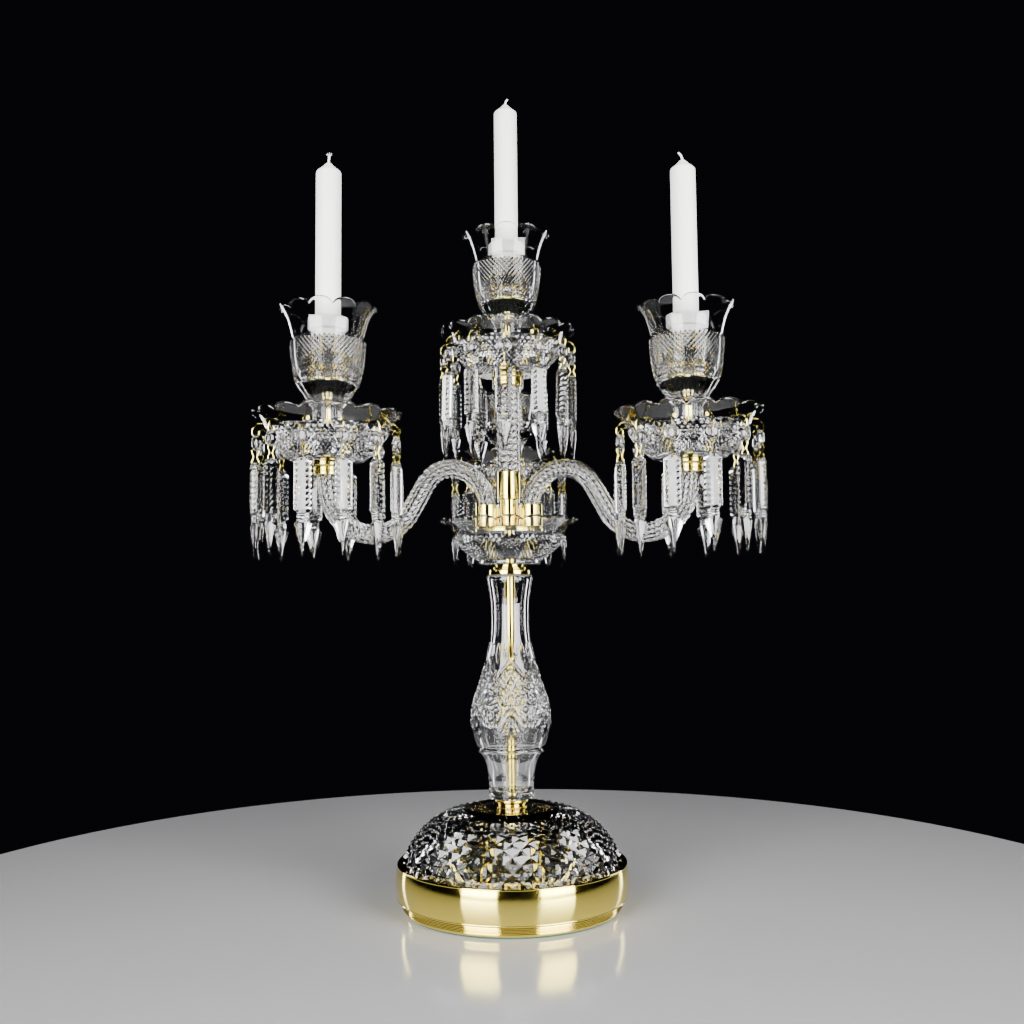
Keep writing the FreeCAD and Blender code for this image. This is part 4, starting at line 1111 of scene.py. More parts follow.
# ---------------------------------------------------------------------------------------- hub
@dataclass
class Hub:
    """Receiver bowl, arm plate, arm cups, pillar and coupler."""

    rod_bore: float = 5.15
    bowl: Dish = Dish(5.15, 29.0, 3.2, 53.7, 25.7, 29.5, 64.8, 41.0)
    plate_radius: float = 34.0
    plate_height: float = 6.0
    cup_radius: float = 10.7
    cup_height: float = 19.8
    cup_bore: float = 9.0
    cup_floor: float = 3.0
    screw_bore: float = 2.15
    arm_root: float = 24.0
    bearings: tuple[float, ...] = (210.0, 330.0, 90.0)
    pillar_radius: float = 8.4
    pillar_height: float = 25.5
    coupler_radius: float = 11.3
    coupler_height: float = 26.5
    coupler_floor: float = 4.0
    coupler_bore: float = 9.45

    def build(self, bench: Bench) -> None:
        """Builds the hub's pieces.

        Args:
            bench: where they are finished.
        """
        bench.fit("receiver_bowl_cut", self.bowl.draft(), "crystal", ["receiver_bowl"],
                  Matrix.Translation(foot_of("receiver_bowl")))
        bore, edge, top = self.rod_bore, self.plate_radius, self.plate_height
        plate = trace([(bore, 0), (edge - 1, 0), (edge, 1, -0.3), (edge, top - 2.2), (edge - 0.6, top - 1.6),
                       (edge - 0.9, top - 0.8, 0.2), (edge - 2, top, -0.3), (bore, top)], 5)
        bench.turn("arm_plate_turned", plate, "brass", ["arm_plate"], foot_of("arm_plate"))
        self._cups(bench)
        pillar = trace([
            (bore, 0), (self.pillar_radius + 1.2, 0), (self.pillar_radius + 1.2, 1.6, -0.3),
            (self.pillar_radius, 2.4, 0.2), (self.pillar_radius, self.pillar_height),
            (bore, self.pillar_height)], 4)
        bench.turn("pillar", pillar, "brass", ["centre_pillar"], foot_of("centre_pillar"), 96)
        self._coupler(bench)
        dress("arm_cup_screws", bench.finishes.steel)
        dress("pillar_nut", bench.finishes.brass)

    def _cups(self, bench: Bench) -> None:
        """The three brass cups that hold the arms."""
        outer, top = self.cup_radius, self.cup_height
        draft = MeshDraft()
        for bearing in self.bearings:
            cup = MeshDraft()
            cup.turned(trace([
                (self.screw_bore, 0), (outer - 0.6, 0), (outer, 0.6, -0.2), (outer, 2.0),
                (outer - 0.35, 2.35), (outer, 2.7), (outer, top - 0.7), (outer - 0.6, top, -0.2),
                (self.cup_bore, top), (self.cup_bore, self.cup_floor),
                (self.screw_bore, self.cup_floor)], 4), 96)
            turn = Matrix.Rotation(math.radians(bearing), 4, "Z")
            draft.take(cup, turn @ Matrix.Translation((self.arm_root, 0, low_of("arm_cups"))))
        bench.fit("arm_cups_turned", draft, "brass", ["arm_cups"])

    def _coupler(self, bench: Bench) -> None:
        """The brass coupler that the centre stem stands in."""
        outer, top = self.coupler_radius, self.coupler_height
        outline = trace([
            (self.rod_bore, 0), (outer - 0.8, 0), (outer, 0.8, -0.2), (outer, 3.0), (outer - 0.35, 3.35),
            (outer, 3.7), (outer, top - 0.8), (outer - 0.6, top, -0.2), (self.coupler_bore, top),
            (self.coupler_bore, self.coupler_floor), (self.rod_bore, self.coupler_floor)], 4)
        bench.turn("coupler", outline, "brass", ["centre_coupler"], foot_of("centre_coupler"))


# ---------------------------------------------------------------------------------------- rope-cut glass
@dataclass
class RopeGlass:
    """Glass arms and stem with flutes that wind round them like the lay of a rope."""

    arm_radius: float = 8.75
    stem_radius: float = 11.0
    spigot_radius: float = 9.2
    spigot_length: float = 16.5
    over_bend: float = 34.0
    under_bend: float = 42.0
    root: float = 24.0
    flutes: int = 10
    flute_depth: float = 1.9
    lay: float = 62.0
    step: float = 2.0

    def build(self, bench: Bench) -> None:
        """Builds the three arms and the stem.

        Args:
            bench: where they are finished.
        """
        for side in (Side.LEFT, Side.RIGHT, Side.BACK):
            node = f"arm_{side.value}"
            pan = middle_of(f"pan_{side.value}")
            draft = MeshDraft()
            draft.swept(self._gooseneck(node, pan.length), self._section(self.arm_radius),
                        4 * self.flutes, Vector((0, 1, 0)))
            turned = Matrix.Rotation(math.atan2(pan.y, pan.x), 4, "Z")
            bench.fit(f"rope_arm_{side.value}", draft, "crystal", [node], turned, crease=50)
        self._stem(bench)

    def _gooseneck(self, node: str, reach: float) -> list[Vector]:
        """The centre line of an arm that goes out along +X.

        Args:
            node: the arm's CAD node.
            reach: how far out it ends.

        Returns:
            Points a short step apart, from its foot in its cup to its end under the pan.
        """
        high = Vector((self.root + self.over_bend, 0, high_of(node) - self.arm_radius - self.over_bend))
        low = Vector((reach - self.under_bend, 0, low_of(node) + self.arm_radius + self.under_bend))
        between = low - high
        opening = math.acos((self.over_bend + self.under_bend) / between.length)
        lean = math.atan2(between.z, between.x) + opening
        foot = low_of("arm_cups") + Hub.cup_floor
        line = [Vector((self.root, 0, foot)), Vector((self.root, 0, high.z))]
        line += [high + self.over_bend * Vector((math.cos(a), 0, math.sin(a)))
                 for a in spread(math.pi, lean, 40)]
        line += [low + self.under_bend * Vector((math.cos(a), 0, math.sin(a)))
                 for a in spread(lean + math.pi, math.tau, 40)]
        line.append(Vector((reach, 0, low_of(node.replace("arm", "pan")) - 4.0)))
        return evenly(line, self.step)

    def _section(self, radius: float) -> Callable[[int, int], Pair]:
        """The fluted section, turned a little further at each ring."""
        def corner(ring: int, number: int) -> Pair:
            """One corner of the section at one ring."""
            turn = math.tau * (number / (4 * self.flutes) + ring * self.step / self.lay)
            reach = radius - self.flute_depth * (0.0, 0.8, 1.0, 0.8)[number % 4]
            return reach * math.cos(turn), reach * math.sin(turn)
        return corner

    def _stem(self, bench: Bench) -> None:
        """The upright centre stem: a plain spigot and a rope-cut length above it."""
        low, high = low_of("centre_stem"), high_of("centre_stem")
        draft = MeshDraft()
        rope = evenly([Vector((0, 0, low + self.spigot_length)), Vector((0, 0, high))], self.step)
        draft.swept(rope, self._section(self.stem_radius), 4 * self.flutes, Vector((0, 1, 0)))
        seam = low + self.spigot_length - 0.02
        draft.turned([(0.0, low), (self.spigot_radius - 0.5, low), (self.spigot_radius, low + 0.5),
                      (self.spigot_radius, seam), (0.0, seam)], 64, False)
        bench.fit("rope_stem", draft, "crystal", ["centre_stem"], crease=50)


def spread(first: float, last: float, steps: int) -> list[float]:
    """Numbers from first to last in even steps, both included."""
    return [first + (last - first) * step / steps for step in range(steps + 1)]


def evenly(line: Sequence[Vector], step: float) -> list[Vector]:
    """Points along a line, each about a step from the last, both ends included."""
    lengths = [0.0]
    for a, b in zip(line, line[1:]):
        lengths.append(lengths[-1] + (b - a).length)
    count = max(2, round(lengths[-1] / step))
    made, place = [], 0
    for number in range(count + 1):
        mark = lengths[-1] * number / count
        while place < len(line) - 2 and lengths[place + 1] < mark:
            place += 1
        run = max(1e-9, lengths[place + 1] - lengths[place])
        made.append(line[place].lerp(line[place + 1], (mark - lengths[place]) / run))
    return made


# ---------------------------------------------------------------------------------------- one light
@dataclass
class Light:
    """One light: end cap, drip pan, cup, socket, collar, candle and wick on one centre line."""

    side: Side
    turn: float
    phase: float
    wick: WickEnd
    held: float = 8.75
    glass_gap: float = 0.25
    stud_radius: float = 3.0
    stud_bore: float = 3.1
    pan: Dish = Dish(3.1, 32.5, 0.8, 53.7, 25.0, 28.5, 64.3, 40.0)
    candle_radius: float = 11.0
    candle_length: float = 140.2
    cup_columns: int = 96
    cup_floor: float = 38.5

    def __post_init__(self) -> None:
        """Finds the light's place in the frame."""
        self.name = self.side.value
        self.centre = middle_of(f"pan_{self.name}")

    def at(self, node: str) -> Vector:
        """The point on the light's centre line at a node's lowest level."""
        return self.centre + Vector((0, 0, low_of(f"{node}_{self.name}")))

    def build(self, bench: Bench) -> None:
        """Builds the light's pieces.

        Args:
            bench: where they are finished.
        """
        self._cap(bench)
        turned = Matrix.Rotation(math.radians(self.turn + self.phase), 4, "Z")
        place = Matrix.Translation(self.at("pan")) @ turned
        bench.fit(f"drip_pan_{self.name}", self.pan.draft(), "crystal", [f"pan_{self.name}"], place)
        self._cup(bench)
        self._socket(bench)
        self._collar(bench)
        self._candle(bench)
        self._fastenings(bench)

    def _cap(self, bench: Bench) -> None:
        """The turned brass cap on the end of the arm or stem."""
        bore = self.held + self.glass_gap
        wall = bore + 2.3
        outline = trace([
            (bore, 0), (wall - 0.3, 0), (wall, 0.3), (wall, 2.0), (wall + 0.7, 2.9, -0.4), (wall, 3.8, -0.4),
            (wall, 6.2), (wall + 1.6, 8.4, 0.3), (wall + 1.6, 11.5), (wall + 1.1, 12.0, -0.1),
            (self.stud_bore, 12.0), (self.stud_bore, 8.3), (bore, 8.3)], 5)
        bench.turn(f"cap_{self.name}", outline, "brass", [f"end_cap_{self.name}"], self.at("end_cap"), 96)

    def _cup(self, bench: Bench) -> None:
        """The candle cup: fluted neck and cone, diamond-cut body and a flared scalloped rim."""
        draft = MeshDraft()
        columns = self.cup_columns
        foot = plain_rings(draft, [(self.stud_bore, 0), (14.0, 0), (14.4, 0.6)], columns)
        join_up(draft, foot)
        neck = [fluted(draft, columns, p, d) for p, d in (
            ((14.3, 1.0), 0.1), ((13.1, 4.0), 0.2), ((13.0, 8.0), 0.2), ((13.0, 14.5), 0.2),
            ((13.3, 16.5), 0.3), ((16.0, 19.6), 0.5), ((21.6, 27.2), 0.8), ((26.0, 33.6), 0.9),
            ((27.6, 36.0), 0.4))]
        join_up(draft, [foot[-1], *neck], Facet.FLAT)
        body = Track(trace([(27.9, 36.6), (32.7, 70.0, -1.0), (32.7, 75.0)], 12))
        cut = DiamondCut(columns // 2, 17, 1.8).rings(draft, body)
        draft.band(neck[-1], cut[0], Facet.FLAT)
        flare = Track(trace([(32.0, 76.2), (33.6, 84.0, 0.3), (42.3, 102.5, 1.3)], 8))
        band = ScallopedBand(12, 2 * columns, 8.6, 2.4, 2.0, 11).rings(draft, flare)
        draft.band(cut[-1], band[0])
        inside = plain_rings(draft, trace([
            (29.0, 71.0), (25.8, 46.0, 0.9), (23.6, 40.6, -0.6), (21.0, self.cup_floor, -0.4),
            (12.0, self.cup_floor), (self.stud_bore, self.cup_floor)], 6), columns)
        draft.band(band[-1], inside[0])
        join_up(draft, [*inside, foot[0]])
        place = Matrix.Translation(self.at("cup")) @ Matrix.Rotation(math.radians(self.turn), 4, "Z")
        bench.fit(f"candle_cup_{self.name}", draft, "crystal", [f"cup_{self.name}"], place)

    def _socket(self, bench: Bench) -> None:
        """The thin brass socket in the cup."""
        bore = self.candle_radius
        outline = trace([
            (self.stud_bore, 0), (bore - 2, 0), (bore + 1.0, 1.6, -0.5), (bore + 1.0, 20.6),
            (bore + 1.4, 21.8, -0.3), (bore + 1.0, 23.0, -0.3), (bore, 23.0), (bore, 3.0),
            (self.stud_bore, 3.0)], 5)
        bench.turn(f"candle_socket_{self.name}", outline, "brass", [f"socket_{self.name}"],
                   self.at("socket"), 96)

    def _collar(self, bench: Bench) -> None:
        """The white flanged collar under the candle, with its plug."""
        plug, seat = self.candle_radius - 0.2, self.candle_radius + 0.3
        outline = trace([
            (plug - 1.6, 0), (plug - 0.3, 0), (plug, 0.4), (plug, 28.8), (plug + 0.5, 29.4, 0.1),
            (16.7, 29.4), (17.3, 30.0, -0.2), (17.3, 38.8), (16.5, 39.8, -0.2), (seat + 0.5, 39.8),
            (seat, 39.3, 0.1), (seat, 31.4), (0.0, 31.4), (0.0, 28.4), (plug - 1.6, 28.4)], 4)
        bench.turn(f"candle_collar_{self.name}", outline, "collar", [f"collar_{self.name}"],
                   self.at("collar"), 96)

    def _candle(self, bench: Bench) -> None:
        """The candle and its wick, on the candle's own body."""
        body = f"candle_{self.name}"
        length, radius = self.candle_length, self.candle_radius
        outline = flowing([(radius, length - 2.0), (radius - 0.5, length - 0.4), (radius - 1.9, length + 0.9),
                           (5.4, length + 4.2), (2.9, length + 6.9), (1.5, length + 7.9)], 5)
        shape = [(0.0, 0.0), (radius - 0.5, 0.0), (radius - 0.1, 0.3), (radius, 0.8),
                 *[(radius, 2.0 + (length - 4.0) * n / 24) for n in range(25)], *outline[1:],
                 (0.0, length + 7.6)]
        bench.turn(f"wax_candle_{self.name}", shape, "wax", [body], self.at("candle"), 96, False, body)
        draft = MeshDraft()
        top = length + 7.0
        lean, rise = WICK_SHAPE[self.wick]
        core = [Vector((lean * t ** 2, 0, top + rise * t - abs(lean) * 0.25 * t ** 3))
                for t in spread(0, 1, 24)]
        for strand in range(3):
            line = []
            for number, point in enumerate(core):
                turn = number * 0.62 + math.tau * strand / 3
                line.append(point + Vector((0.48 * math.cos(turn), 0.48 * math.sin(turn), 0)))
            draft.wire(line, 0.55, Vector((0, 1, 0)))
        if self.wick is WickEnd.FRAYED:
            self._fray(draft, core[-1])
        place = Matrix.Translation(self.at("candle"))
        bench.fit(f"wick_{self.name}", draft, "cotton", [], place, body, 60)

    @staticmethod
    def _fray(draft: MeshDraft, tip: Vector) -> None:
        """Teases a wick's end out into loose fibres."""
        chance = random.Random(7)
        for fibre in range(9):
            turn, reach = math.tau * fibre / 9, chance.uniform(1.6, 3.6)
            out = Vector((math.cos(turn), math.sin(turn), 0))
            line = [tip + out * reach * t + Vector((0, 0, chance.uniform(1.2, 2.6) * t * (1.3 - 0.7 * t)))
                    for t in spread(0, 1, 4)]
            draft.wire(line, 0.26, Vector((0.3, 0.9, 0.1)))

    def _fastenings(self, bench: Bench) -> None:
        """The brass stud up the neck and the two washers that clamp the cup."""
        foot = low_of(f"end_cap_{self.name}") + 8.5
        head = low_of(f"socket_{self.name}") + 2.8
        radius, length = self.stud_radius, head - foot
        stud = [(0.0, 0.0), (radius - 0.4, 0.0), (radius, 0.4), (radius, length - 0.4),
                (radius - 0.4, length), (0.0, length)]
        bench.turn(f"stud_{self.name}", stud, "brass", ["cup_studs"],
                   self.centre + Vector((0, 0, foot)), 64, False)
        seat = trace([(self.stud_bore, 0), (11.6, 0), (12.0, 0.4), (12.0, 1.3), (11.5, 1.8, -0.1),
                      (self.stud_bore, 1.8)], 4)
        bench.turn(f"seat_{self.name}", seat, "brass", ["seat_washers"],
                   self.at("pan") + Vector((0, 0, self.pan.floor)), 96)
        clamp = trace([(self.stud_bore, 0), (19.7, 0), (20.0, 0.3), (20.0, 0.7), (19.7, 1.0), (6.4, 1.0),
                       (6.0, 1.3), (6.0, 3.7), (5.7, 4.0), (self.stud_bore, 4.0)], 4)
        bench.turn(f"clamp_{self.name}", clamp, "brass", ["seat_washers"],
                   self.at("cup") + Vector((0, 0, self.cup_floor)), 96)


def fluted(draft: MeshDraft, columns: int, place: Pair, depth: float) -> list[int]:
    """A ring whose radius dips into hollow flutes, four columns to each."""
    return draft.round(columns, lambda i: (place[0] - depth * (0.0, 0.75, 1.0, 0.75)[i % 4], place[1]))


# ---------------------------------------------------------------------------------------- strands
@dataclass
class Strands:
    """The twelve strands of each pan: hook pin, octagon bead, link and notched prism."""

    count: int = 12
    radius: float = 61.0
    clearance: float = 0.4
    wire: float = 0.42
    pin_level: float = 30.2
    pin_head: float = 49.5
    bead_radius: float = 6.8
    bead_thick: float = 6.4
    bead_level: float = 13.5
    bead_hole: float = 4.4
    hole_radius: float = 1.25
    drill_reach: float = 8.0
    loop_half: float = 3.0
    prism_top: float = -3.4
    prism_hole: float = 2.6
    bar_length: float = 45.0
    neck_length: float = 7.0
    prism_length: float = 80.0
    prism_half: float = 7.7
    prism_thick: float = 3.85
    neck_half: float = 5.0
    notches: int = 8
    notch_pitch: float = 4.7

    def build(self, bench: Bench, lights: Sequence[Light]) -> None:
        """Builds the strands of every light.

        Args:
            bench: where they are finished.
            lights: the lights that they hang from.
        """
        drafts = {"hook": self._hook(), "bead": self._bead(), "link": self._link(), "prism": self._prism()}
        for light in lights:
            self._hang(bench, light, drafts)

    def _hang(self, bench: Bench, light: Light, drafts: dict[str, MeshDraft]) -> None:
        """Hangs copies of the four pieces round one pan: strand 0 swings, the others share their nodes."""
        bearings = [light.turn + light.phase + 360 / self.count * n for n in range(self.count)]
        centre = Matrix.Translation(light.at("pan"))
        places = [centre @ Matrix.Rotation(math.radians(b), 4, "Z") for b in bearings]
        pivot = Matrix.Translation((self.radius, 0, self.bead_level + self.bead_hole + self._eye_rest()))
        hung = [place @ pivot @ Matrix.Rotation(self._lean(light, b), 4, "X") @ pivot.inverted()
                for place, b in zip(places, bearings)]
        name = light.name
        nodes = {"hook": ["strand_hooks"], "bead": [f"strands_{name}"], "link": ["strand_links"],
                 "prism": [f"strands_{name}"]}
        finish = {"hook": "brass", "bead": "crystal", "link": "brass", "prism": "crystal"}
        for piece, draft in drafts.items():
            first = 0 if piece == "hook" else 1
            ring = MeshDraft()
            for place in (places if piece == "hook" else hung)[first:]:
                ring.take(draft, place)
            bench.fit(f"{piece}_ring_{name}", ring, finish[piece], nodes[piece])
            if piece != "hook":
                bench.fit(f"swing_{piece}_{name}", draft, finish[piece], [f"swing_strand_{name}"],
                          places[0], f"strand_{name}")

    def _lean(self, light: Light, bearing: float) -> float:
        """How far a strand leans aside where a glass arm is in its way.

        Args:
            light: the light that it hangs from.
            bearing: where round the pan it hangs, in degrees.

        Returns:
            The angle, in radians, positive towards larger bearings.
        """
        on_stem = light.side is Side.CENTRE
        turns = Hub.bearings if on_stem else (light.turn + 180.0,)
        near, depth = (0.4, self.prism_length) if on_stem else (self.prism_half, self.bar_length)
        needed = RopeGlass.arm_radius + self.clearance + near
        for turn in turns:
            apart = (bearing - turn + 180) % 360 - 180
            offset = self.radius * math.sin(math.radians(apart))
            if abs(apart) < 90 and abs(offset) < needed:
                drop = self.bead_level + self.bead_hole + self._eye_rest() - self.prism_top + depth
                return math.copysign(math.asin((needed - abs(offset)) / drop), offset)
        return 0.0

    def _eye_rest(self) -> float:
        """How far above a hole's centre a hanging piece's wire lies against it."""
        return self.hole_radius - self.wire - 0.05

    def _hook(self) -> MeshDraft:
        """The pin through the pan's wall, bent down into an open loop through the bead."""
        draft = MeshDraft()
        low = self.bead_level + self.bead_hole + self._eye_rest()
        out, half = self.radius, self.loop_half
        line = [(self.pin_head, self.pin_level), (out - 4.4, self.pin_level),
                (out - 1.6, self.pin_level - 0.6), (out + 0.8, self.pin_level - 2.4),
                (out + 2.6, self.pin_level - 5.2), (out + half, low + 3.6), (out + half - 0.3, low + 1.8),
                (out + half - 1.6, low + 0.2), (out, low), (out - half + 1.4, low + 0.4),
                (out - half, low + 2.2), (out - half + 0.3, low + 4.4), (out - half + 1.5, low + 5.4)]
        self._bend(draft, line, False)
        draft.take(self._knob(), Matrix.Translation((self.pin_head, 0, self.pin_level)))
        return draft

    def _knob(self) -> MeshDraft:
        """The round head of a hook pin, lying along X."""
        knob = MeshDraft()
        knob.turned([(0.0, -0.8), (0.9, -0.7), (1.4, -0.35), (1.5, 0.0), (0.0, 0.1)], 16, False)
        turned = MeshDraft()
        turned.take(knob, Matrix.Rotation(math.radians(90), 4, "Y"))
        return turned

    def _link(self) -> MeshDraft:
        """The closed bow-shaped link between bead and prism."""
        draft = MeshDraft()
        top = self.bead_level - self.bead_hole - self._eye_rest()
        low = self.prism_top - self.prism_hole + self._eye_rest()
        middle, half, out = (top + low) / 2, self.loop_half, self.radius
        self._bend(draft, [
            (out, top), (out + half * 0.8, top - 0.9), (out + half, top - 3.0), (out + half * 0.45, middle),
            (out + half, low + 3.0), (out + half * 0.8, low + 0.9), (out, low), (out - half * 0.8, low + 0.9),
            (out - half, low + 3.0), (out - half * 0.45, middle), (out - half, top - 3.0),
            (out - half * 0.8, top - 0.9)], True)
        return draft

    def _bend(self, draft: MeshDraft, line: Sequence[Pair], closed: bool) -> None:
        """Bends a wire along a line in the strand's own upright plane."""
        smooth = flowing([*line, line[0]] if closed else line, 4)
        places = [Vector((x, 0, z)) for x, z in (smooth[:-1] if closed else smooth)]
        draft.wire(places, self.wire, Vector((0, 1, 0)), closed)

    def _bead(self) -> MeshDraft:
        """An eight-sided bead with a table, kite facets and a girdle on each side, drilled twice."""
        draft = MeshDraft()
        rings = [draft.add([(-self.bead_thick / 2, 0, 0)])]
        for along, share, turn in ((-0.5, 0.48, 0.0), (-0.3, 0.80, 0.5), (-0.05, 1.0, 0.0), (0.05, 1.0, 0.0),
                                   (0.3, 0.80, 0.5), (0.5, 0.48, 0.0)):
            ring = []
            for corner in range(BEAD_SIDES):
                angle = math.tau * (corner + turn + 0.5) / BEAD_SIDES
                reach = share * self.bead_radius / math.cos(math.pi / BEAD_SIDES)
                ring.append((along * self.bead_thick, reach * math.cos(angle), reach * math.sin(angle)))
            rings.append(draft.add(ring))
        rings.append(draft.add([(self.bead_thick / 2, 0, 0)]))
        for number, (low, high) in enumerate(zip(rings, rings[1:])):
            turned_ahead = number in (1, 4)
            turned_back = number in (2, 5)
            if not turned_ahead and not turned_back:
                draft.band(low, high, Facet.FLAT)
                continue
            for i in range(BEAD_SIDES):
                j = (i + 1) % BEAD_SIDES
                faces = ((low[i], low[j], high[i]), (low[j], high[j], high[i])) if turned_ahead else (
                    (low[i], high[j], high[i]), (low[i], low[j], high[j]))
                for corners in faces:
                    draft.face(corners, Facet.FLAT)
        centred = draft.drilled([self._drill(0.0, self.bead_hole), self._drill(0.0, -self.bead_hole)])
        placed = MeshDraft()
        placed.take(centred, Matrix.Translation((self.radius, 0, self.bead_level)))
        return placed

    def _drill(self, across: float, up: float) -> tuple[Vector, Vector, float]:
        """A drill along X through a piece whose middle is at a place: its start, its end and its radius."""
        return (Vector((across - self.drill_reach, 0, up)), Vector((across + self.drill_reach, 0, up)),
                self.hole_radius)

    def _prism(self) -> MeshDraft:
        """The notched drop: bar, ringed neck and spear in one piece of glass, drilled at the top."""
        half, thick, top = self.prism_half, self.prism_thick, self.prism_top
        bar, end = top - self.bar_length, top - self.prism_length
        waist = bar - self.neck_length
        levels = [(top, 0.55, 0.75, 0.0), (top - 1.0, 0.66, 0.85, 0.0), (top - 4.2, 1.0, 1.0, 0.0)]
        first = top - 7.0
        for notch in range(self.notches):
            level = first - notch * self.notch_pitch
            levels += [(level + 1.5, 1.0, 1.0, 0.0), (level, 1.0, 1.0, 1.0), (level - 1.5, 1.0, 1.0, 0.0)]
        neck = self.neck_half / half
        levels += [(bar + 2.4, 1.0, 1.0, 0.0), (bar, neck, 0.78, 0.0)]
        for ring in range(3):
            level = bar - 0.8 - ring * 2.0
            levels += [(level, neck, 0.78, 0.0), (level - 0.6, neck - 0.09, 0.66, 0.0),
                       (level - 1.2, neck, 0.78, 0.0)]
        levels += [(waist, neck - 0.05, 0.7, 0.0), (waist - 2.6, 1.0, 1.0, 0.0), (end + 1.0, 0.09, 0.16, 0.0)]
        draft = MeshDraft()
        rings = [draft.add([(self.radius, 0, end)])]
        for level, wide, deep, cut in reversed(levels):
            spear = max(0.0, min(1.0, (waist - level) / 2.6))
            rings.append(draft.add(self._prism_section(level, wide * half, deep * thick, cut, spear)))
        rings.append(draft.add([(self.radius, 0, top)]))
        join_up(draft, rings, Facet.FLAT)
        return draft.drilled([self._drill(self.radius, top - self.prism_hole)])

    def _prism_section(self, level: float, half: float, thick: float, cut: float,
                       spear: float) -> list[tuple]:
        """One level of a prism.

        Args:
            level: its height.
            half: half its width.
            thick: half its thickness.
            cut: 1 in the bottom of a notch, 0 elsewhere.
            spear: 1 where the flat front has closed to one ridge, 0 on the bar.

        Returns:
            Its corners, turning left as seen from above.
        """
        flat = 0.40 * half * (1 - 0.92 * spear)
        ridge = 0.60 * half * (1 - 0.55 * spear)
        ridge_thick = thick * (1 - 0.28 * spear)
        quarter = [
            (thick, flat), (ridge_thick - 1.5 * cut, ridge - 0.4 * cut),
            (0.42 * thick, ridge + 0.62 * (half - ridge)), (0.0, half),
            (-0.42 * thick, ridge + 0.62 * (half - ridge)), (1.5 * cut - ridge_thick, ridge - 0.4 * cut),
            (-thick, flat)]
        corners = quarter + [(x, -y) for x, y in reversed(quarter) if y]
        return [(self.radius + x, y, level) for x, y in corners]


# ---------------------------------------------------------------------------------------- studio
@dataclass(frozen=True)
class Softbox:
    """One soft area light, its places and size in metres and its power in watts."""

    name: str
    place: tuple[float, float, float]
    target: tuple[float, float, float]
    size: Pair
    power: float
    spread: float = 110.0

    def build(self) -> None:
        """Hangs the light where it stands and turns it to its target."""
        lamp = bpy.data.lights.new(self.name, "AREA")
        lamp.shape = "RECTANGLE"
        lamp.size, lamp.size_y = self.size
        lamp.energy = self.power
        lamp.spread = math.radians(self.spread)
        obj = bpy.data.objects.new(self.name, lamp)
        way = Vector(self.target) - Vector(self.place)
        turned = way.to_track_quat("-Z", "Y").to_matrix().to_4x4()
        obj.matrix_world = Matrix.Translation(self.place) @ turned
        bpy.context.scene.collection.objects.link(obj)


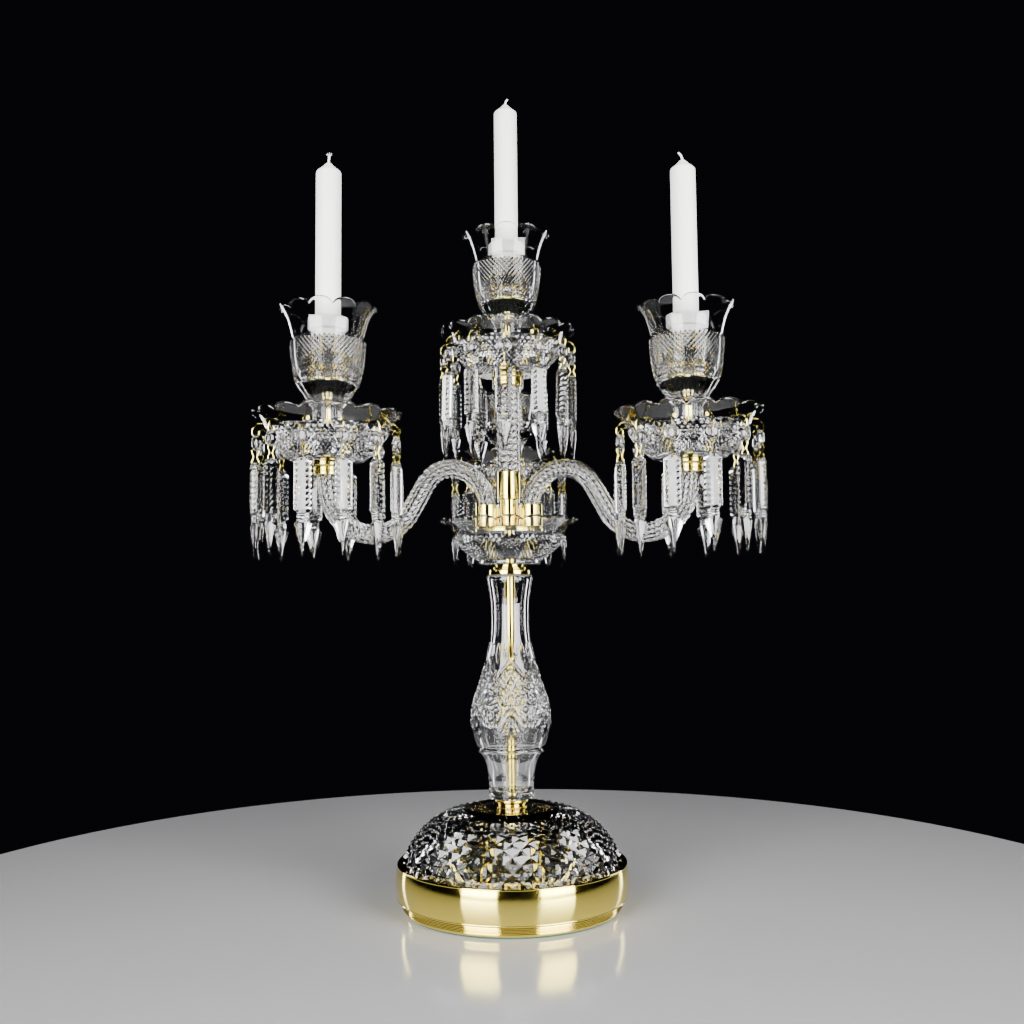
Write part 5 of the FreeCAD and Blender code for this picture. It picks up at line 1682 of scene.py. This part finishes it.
@dataclass
class Studio:
    """Camera, floor and lights."""

    camera_place: tuple[float, float, float] = (0.0, -1.01873, 0.2781)
    pitch: float = 4.69
    yaw: float = -0.16
    roll: float = -0.56
    lens: float = 38.17
    sensor: float = 36.0
    floor_radius: float = 620.0
    floor_thick: float = 4.0
    floor_edge: float = 0.8
    floor_colour: Colour = (0.40, 0.40, 0.41, 1.0)
    floor_roughness: float = 0.12
    backdrop: Colour = (0.0025, 0.0025, 0.0035, 1.0)
    lamps: tuple[Softbox, ...] = (
        Softbox("left_softbox", (-0.74, -1.24, 0.58), (0.0, 0.0, 0.36), (0.90, 1.10), 29.0),
        Softbox("right_softbox", (0.98, -1.08, 0.58), (0.0, 0.0, 0.36), (0.90, 1.10), 29.0),
        Softbox("left_rim_strip", (-1.25, 0.95, 0.50), (0.0, 0.0, 0.42), (0.14, 1.00), 3.2),
        Softbox("right_rim_strip", (1.25, 0.95, 0.50), (0.0, 0.0, 0.42), (0.14, 1.00), 3.2),
    )

    def build(self) -> None:
        """Builds the studio round the piece."""
        self._camera()
        self._floor()
        self._world()
        for lamp in self.lamps:
            lamp.build()

    def _camera(self) -> None:
        """The camera at the height and angle of a person sitting at the table."""
        camera = bpy.data.objects.new("camera", bpy.data.cameras.new("camera"))
        camera.data.lens = self.lens
        camera.data.sensor_width = self.sensor
        turn = Matrix.Rotation(math.radians(self.yaw), 4, "Z")
        tilt = Matrix.Rotation(math.radians(90 + self.pitch), 4, "X")
        lean = Matrix.Rotation(math.radians(self.roll), 4, "Z")
        camera.matrix_world = Matrix.Translation(self.camera_place) @ turn @ tilt @ lean
        bpy.context.scene.collection.objects.link(camera)
        bpy.context.scene.camera = camera

    def _floor(self) -> None:
        """A plain pale table top."""
        draft = MeshDraft()
        join_up(draft, plain_rings(draft, [
            (self.floor_radius, -self.floor_thick), (self.floor_radius, -self.floor_edge),
            (self.floor_radius - self.floor_edge, 0.0), (0.0, 0.0)], 96))
        floor = bpy.data.objects.new("table_top", draft.mesh("table_top", 30))
        bpy.context.scene.collection.objects.link(floor)
        board = Board("pale_table_top")
        board.fix(Base_Color=self.floor_colour, Roughness=self.floor_roughness)
        floor.data.materials.append(board.material)

    def _world(self) -> None:
        """A dark, even room."""
        world = bpy.data.worlds.new("room")
        world.use_nodes = True
        world.node_tree.nodes["Background"].inputs["Color"].default_value = self.backdrop
        bpy.context.scene.world = world


def main() -> None:
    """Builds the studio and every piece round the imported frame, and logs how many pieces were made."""
    logging.basicConfig(level=logging.INFO, format="%(name)s %(message)s")
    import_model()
    Studio().build()
    bench = Bench(Finishes())
    Base().build(bench)
    Column().build(bench)
    Hub().build(bench)
    RopeGlass().build(bench)
    lights = [
        Light(Side.LEFT, 210.0, -9.0, WickEnd.FRAYED),
        Light(Side.RIGHT, 330.0, 8.0, WickEnd.BENT),
        Light(Side.BACK, 90.0, 15.0, WickEnd.BENT),
        Light(Side.CENTRE, 270.0, -3.0, WickEnd.SHORT, held=11.0),
    ]
    for light in lights:
        light.build(bench)
    Strands().build(bench, lights)
    log.info("%d pieces made", bench.made)


if __name__ == "__main__":
    main()
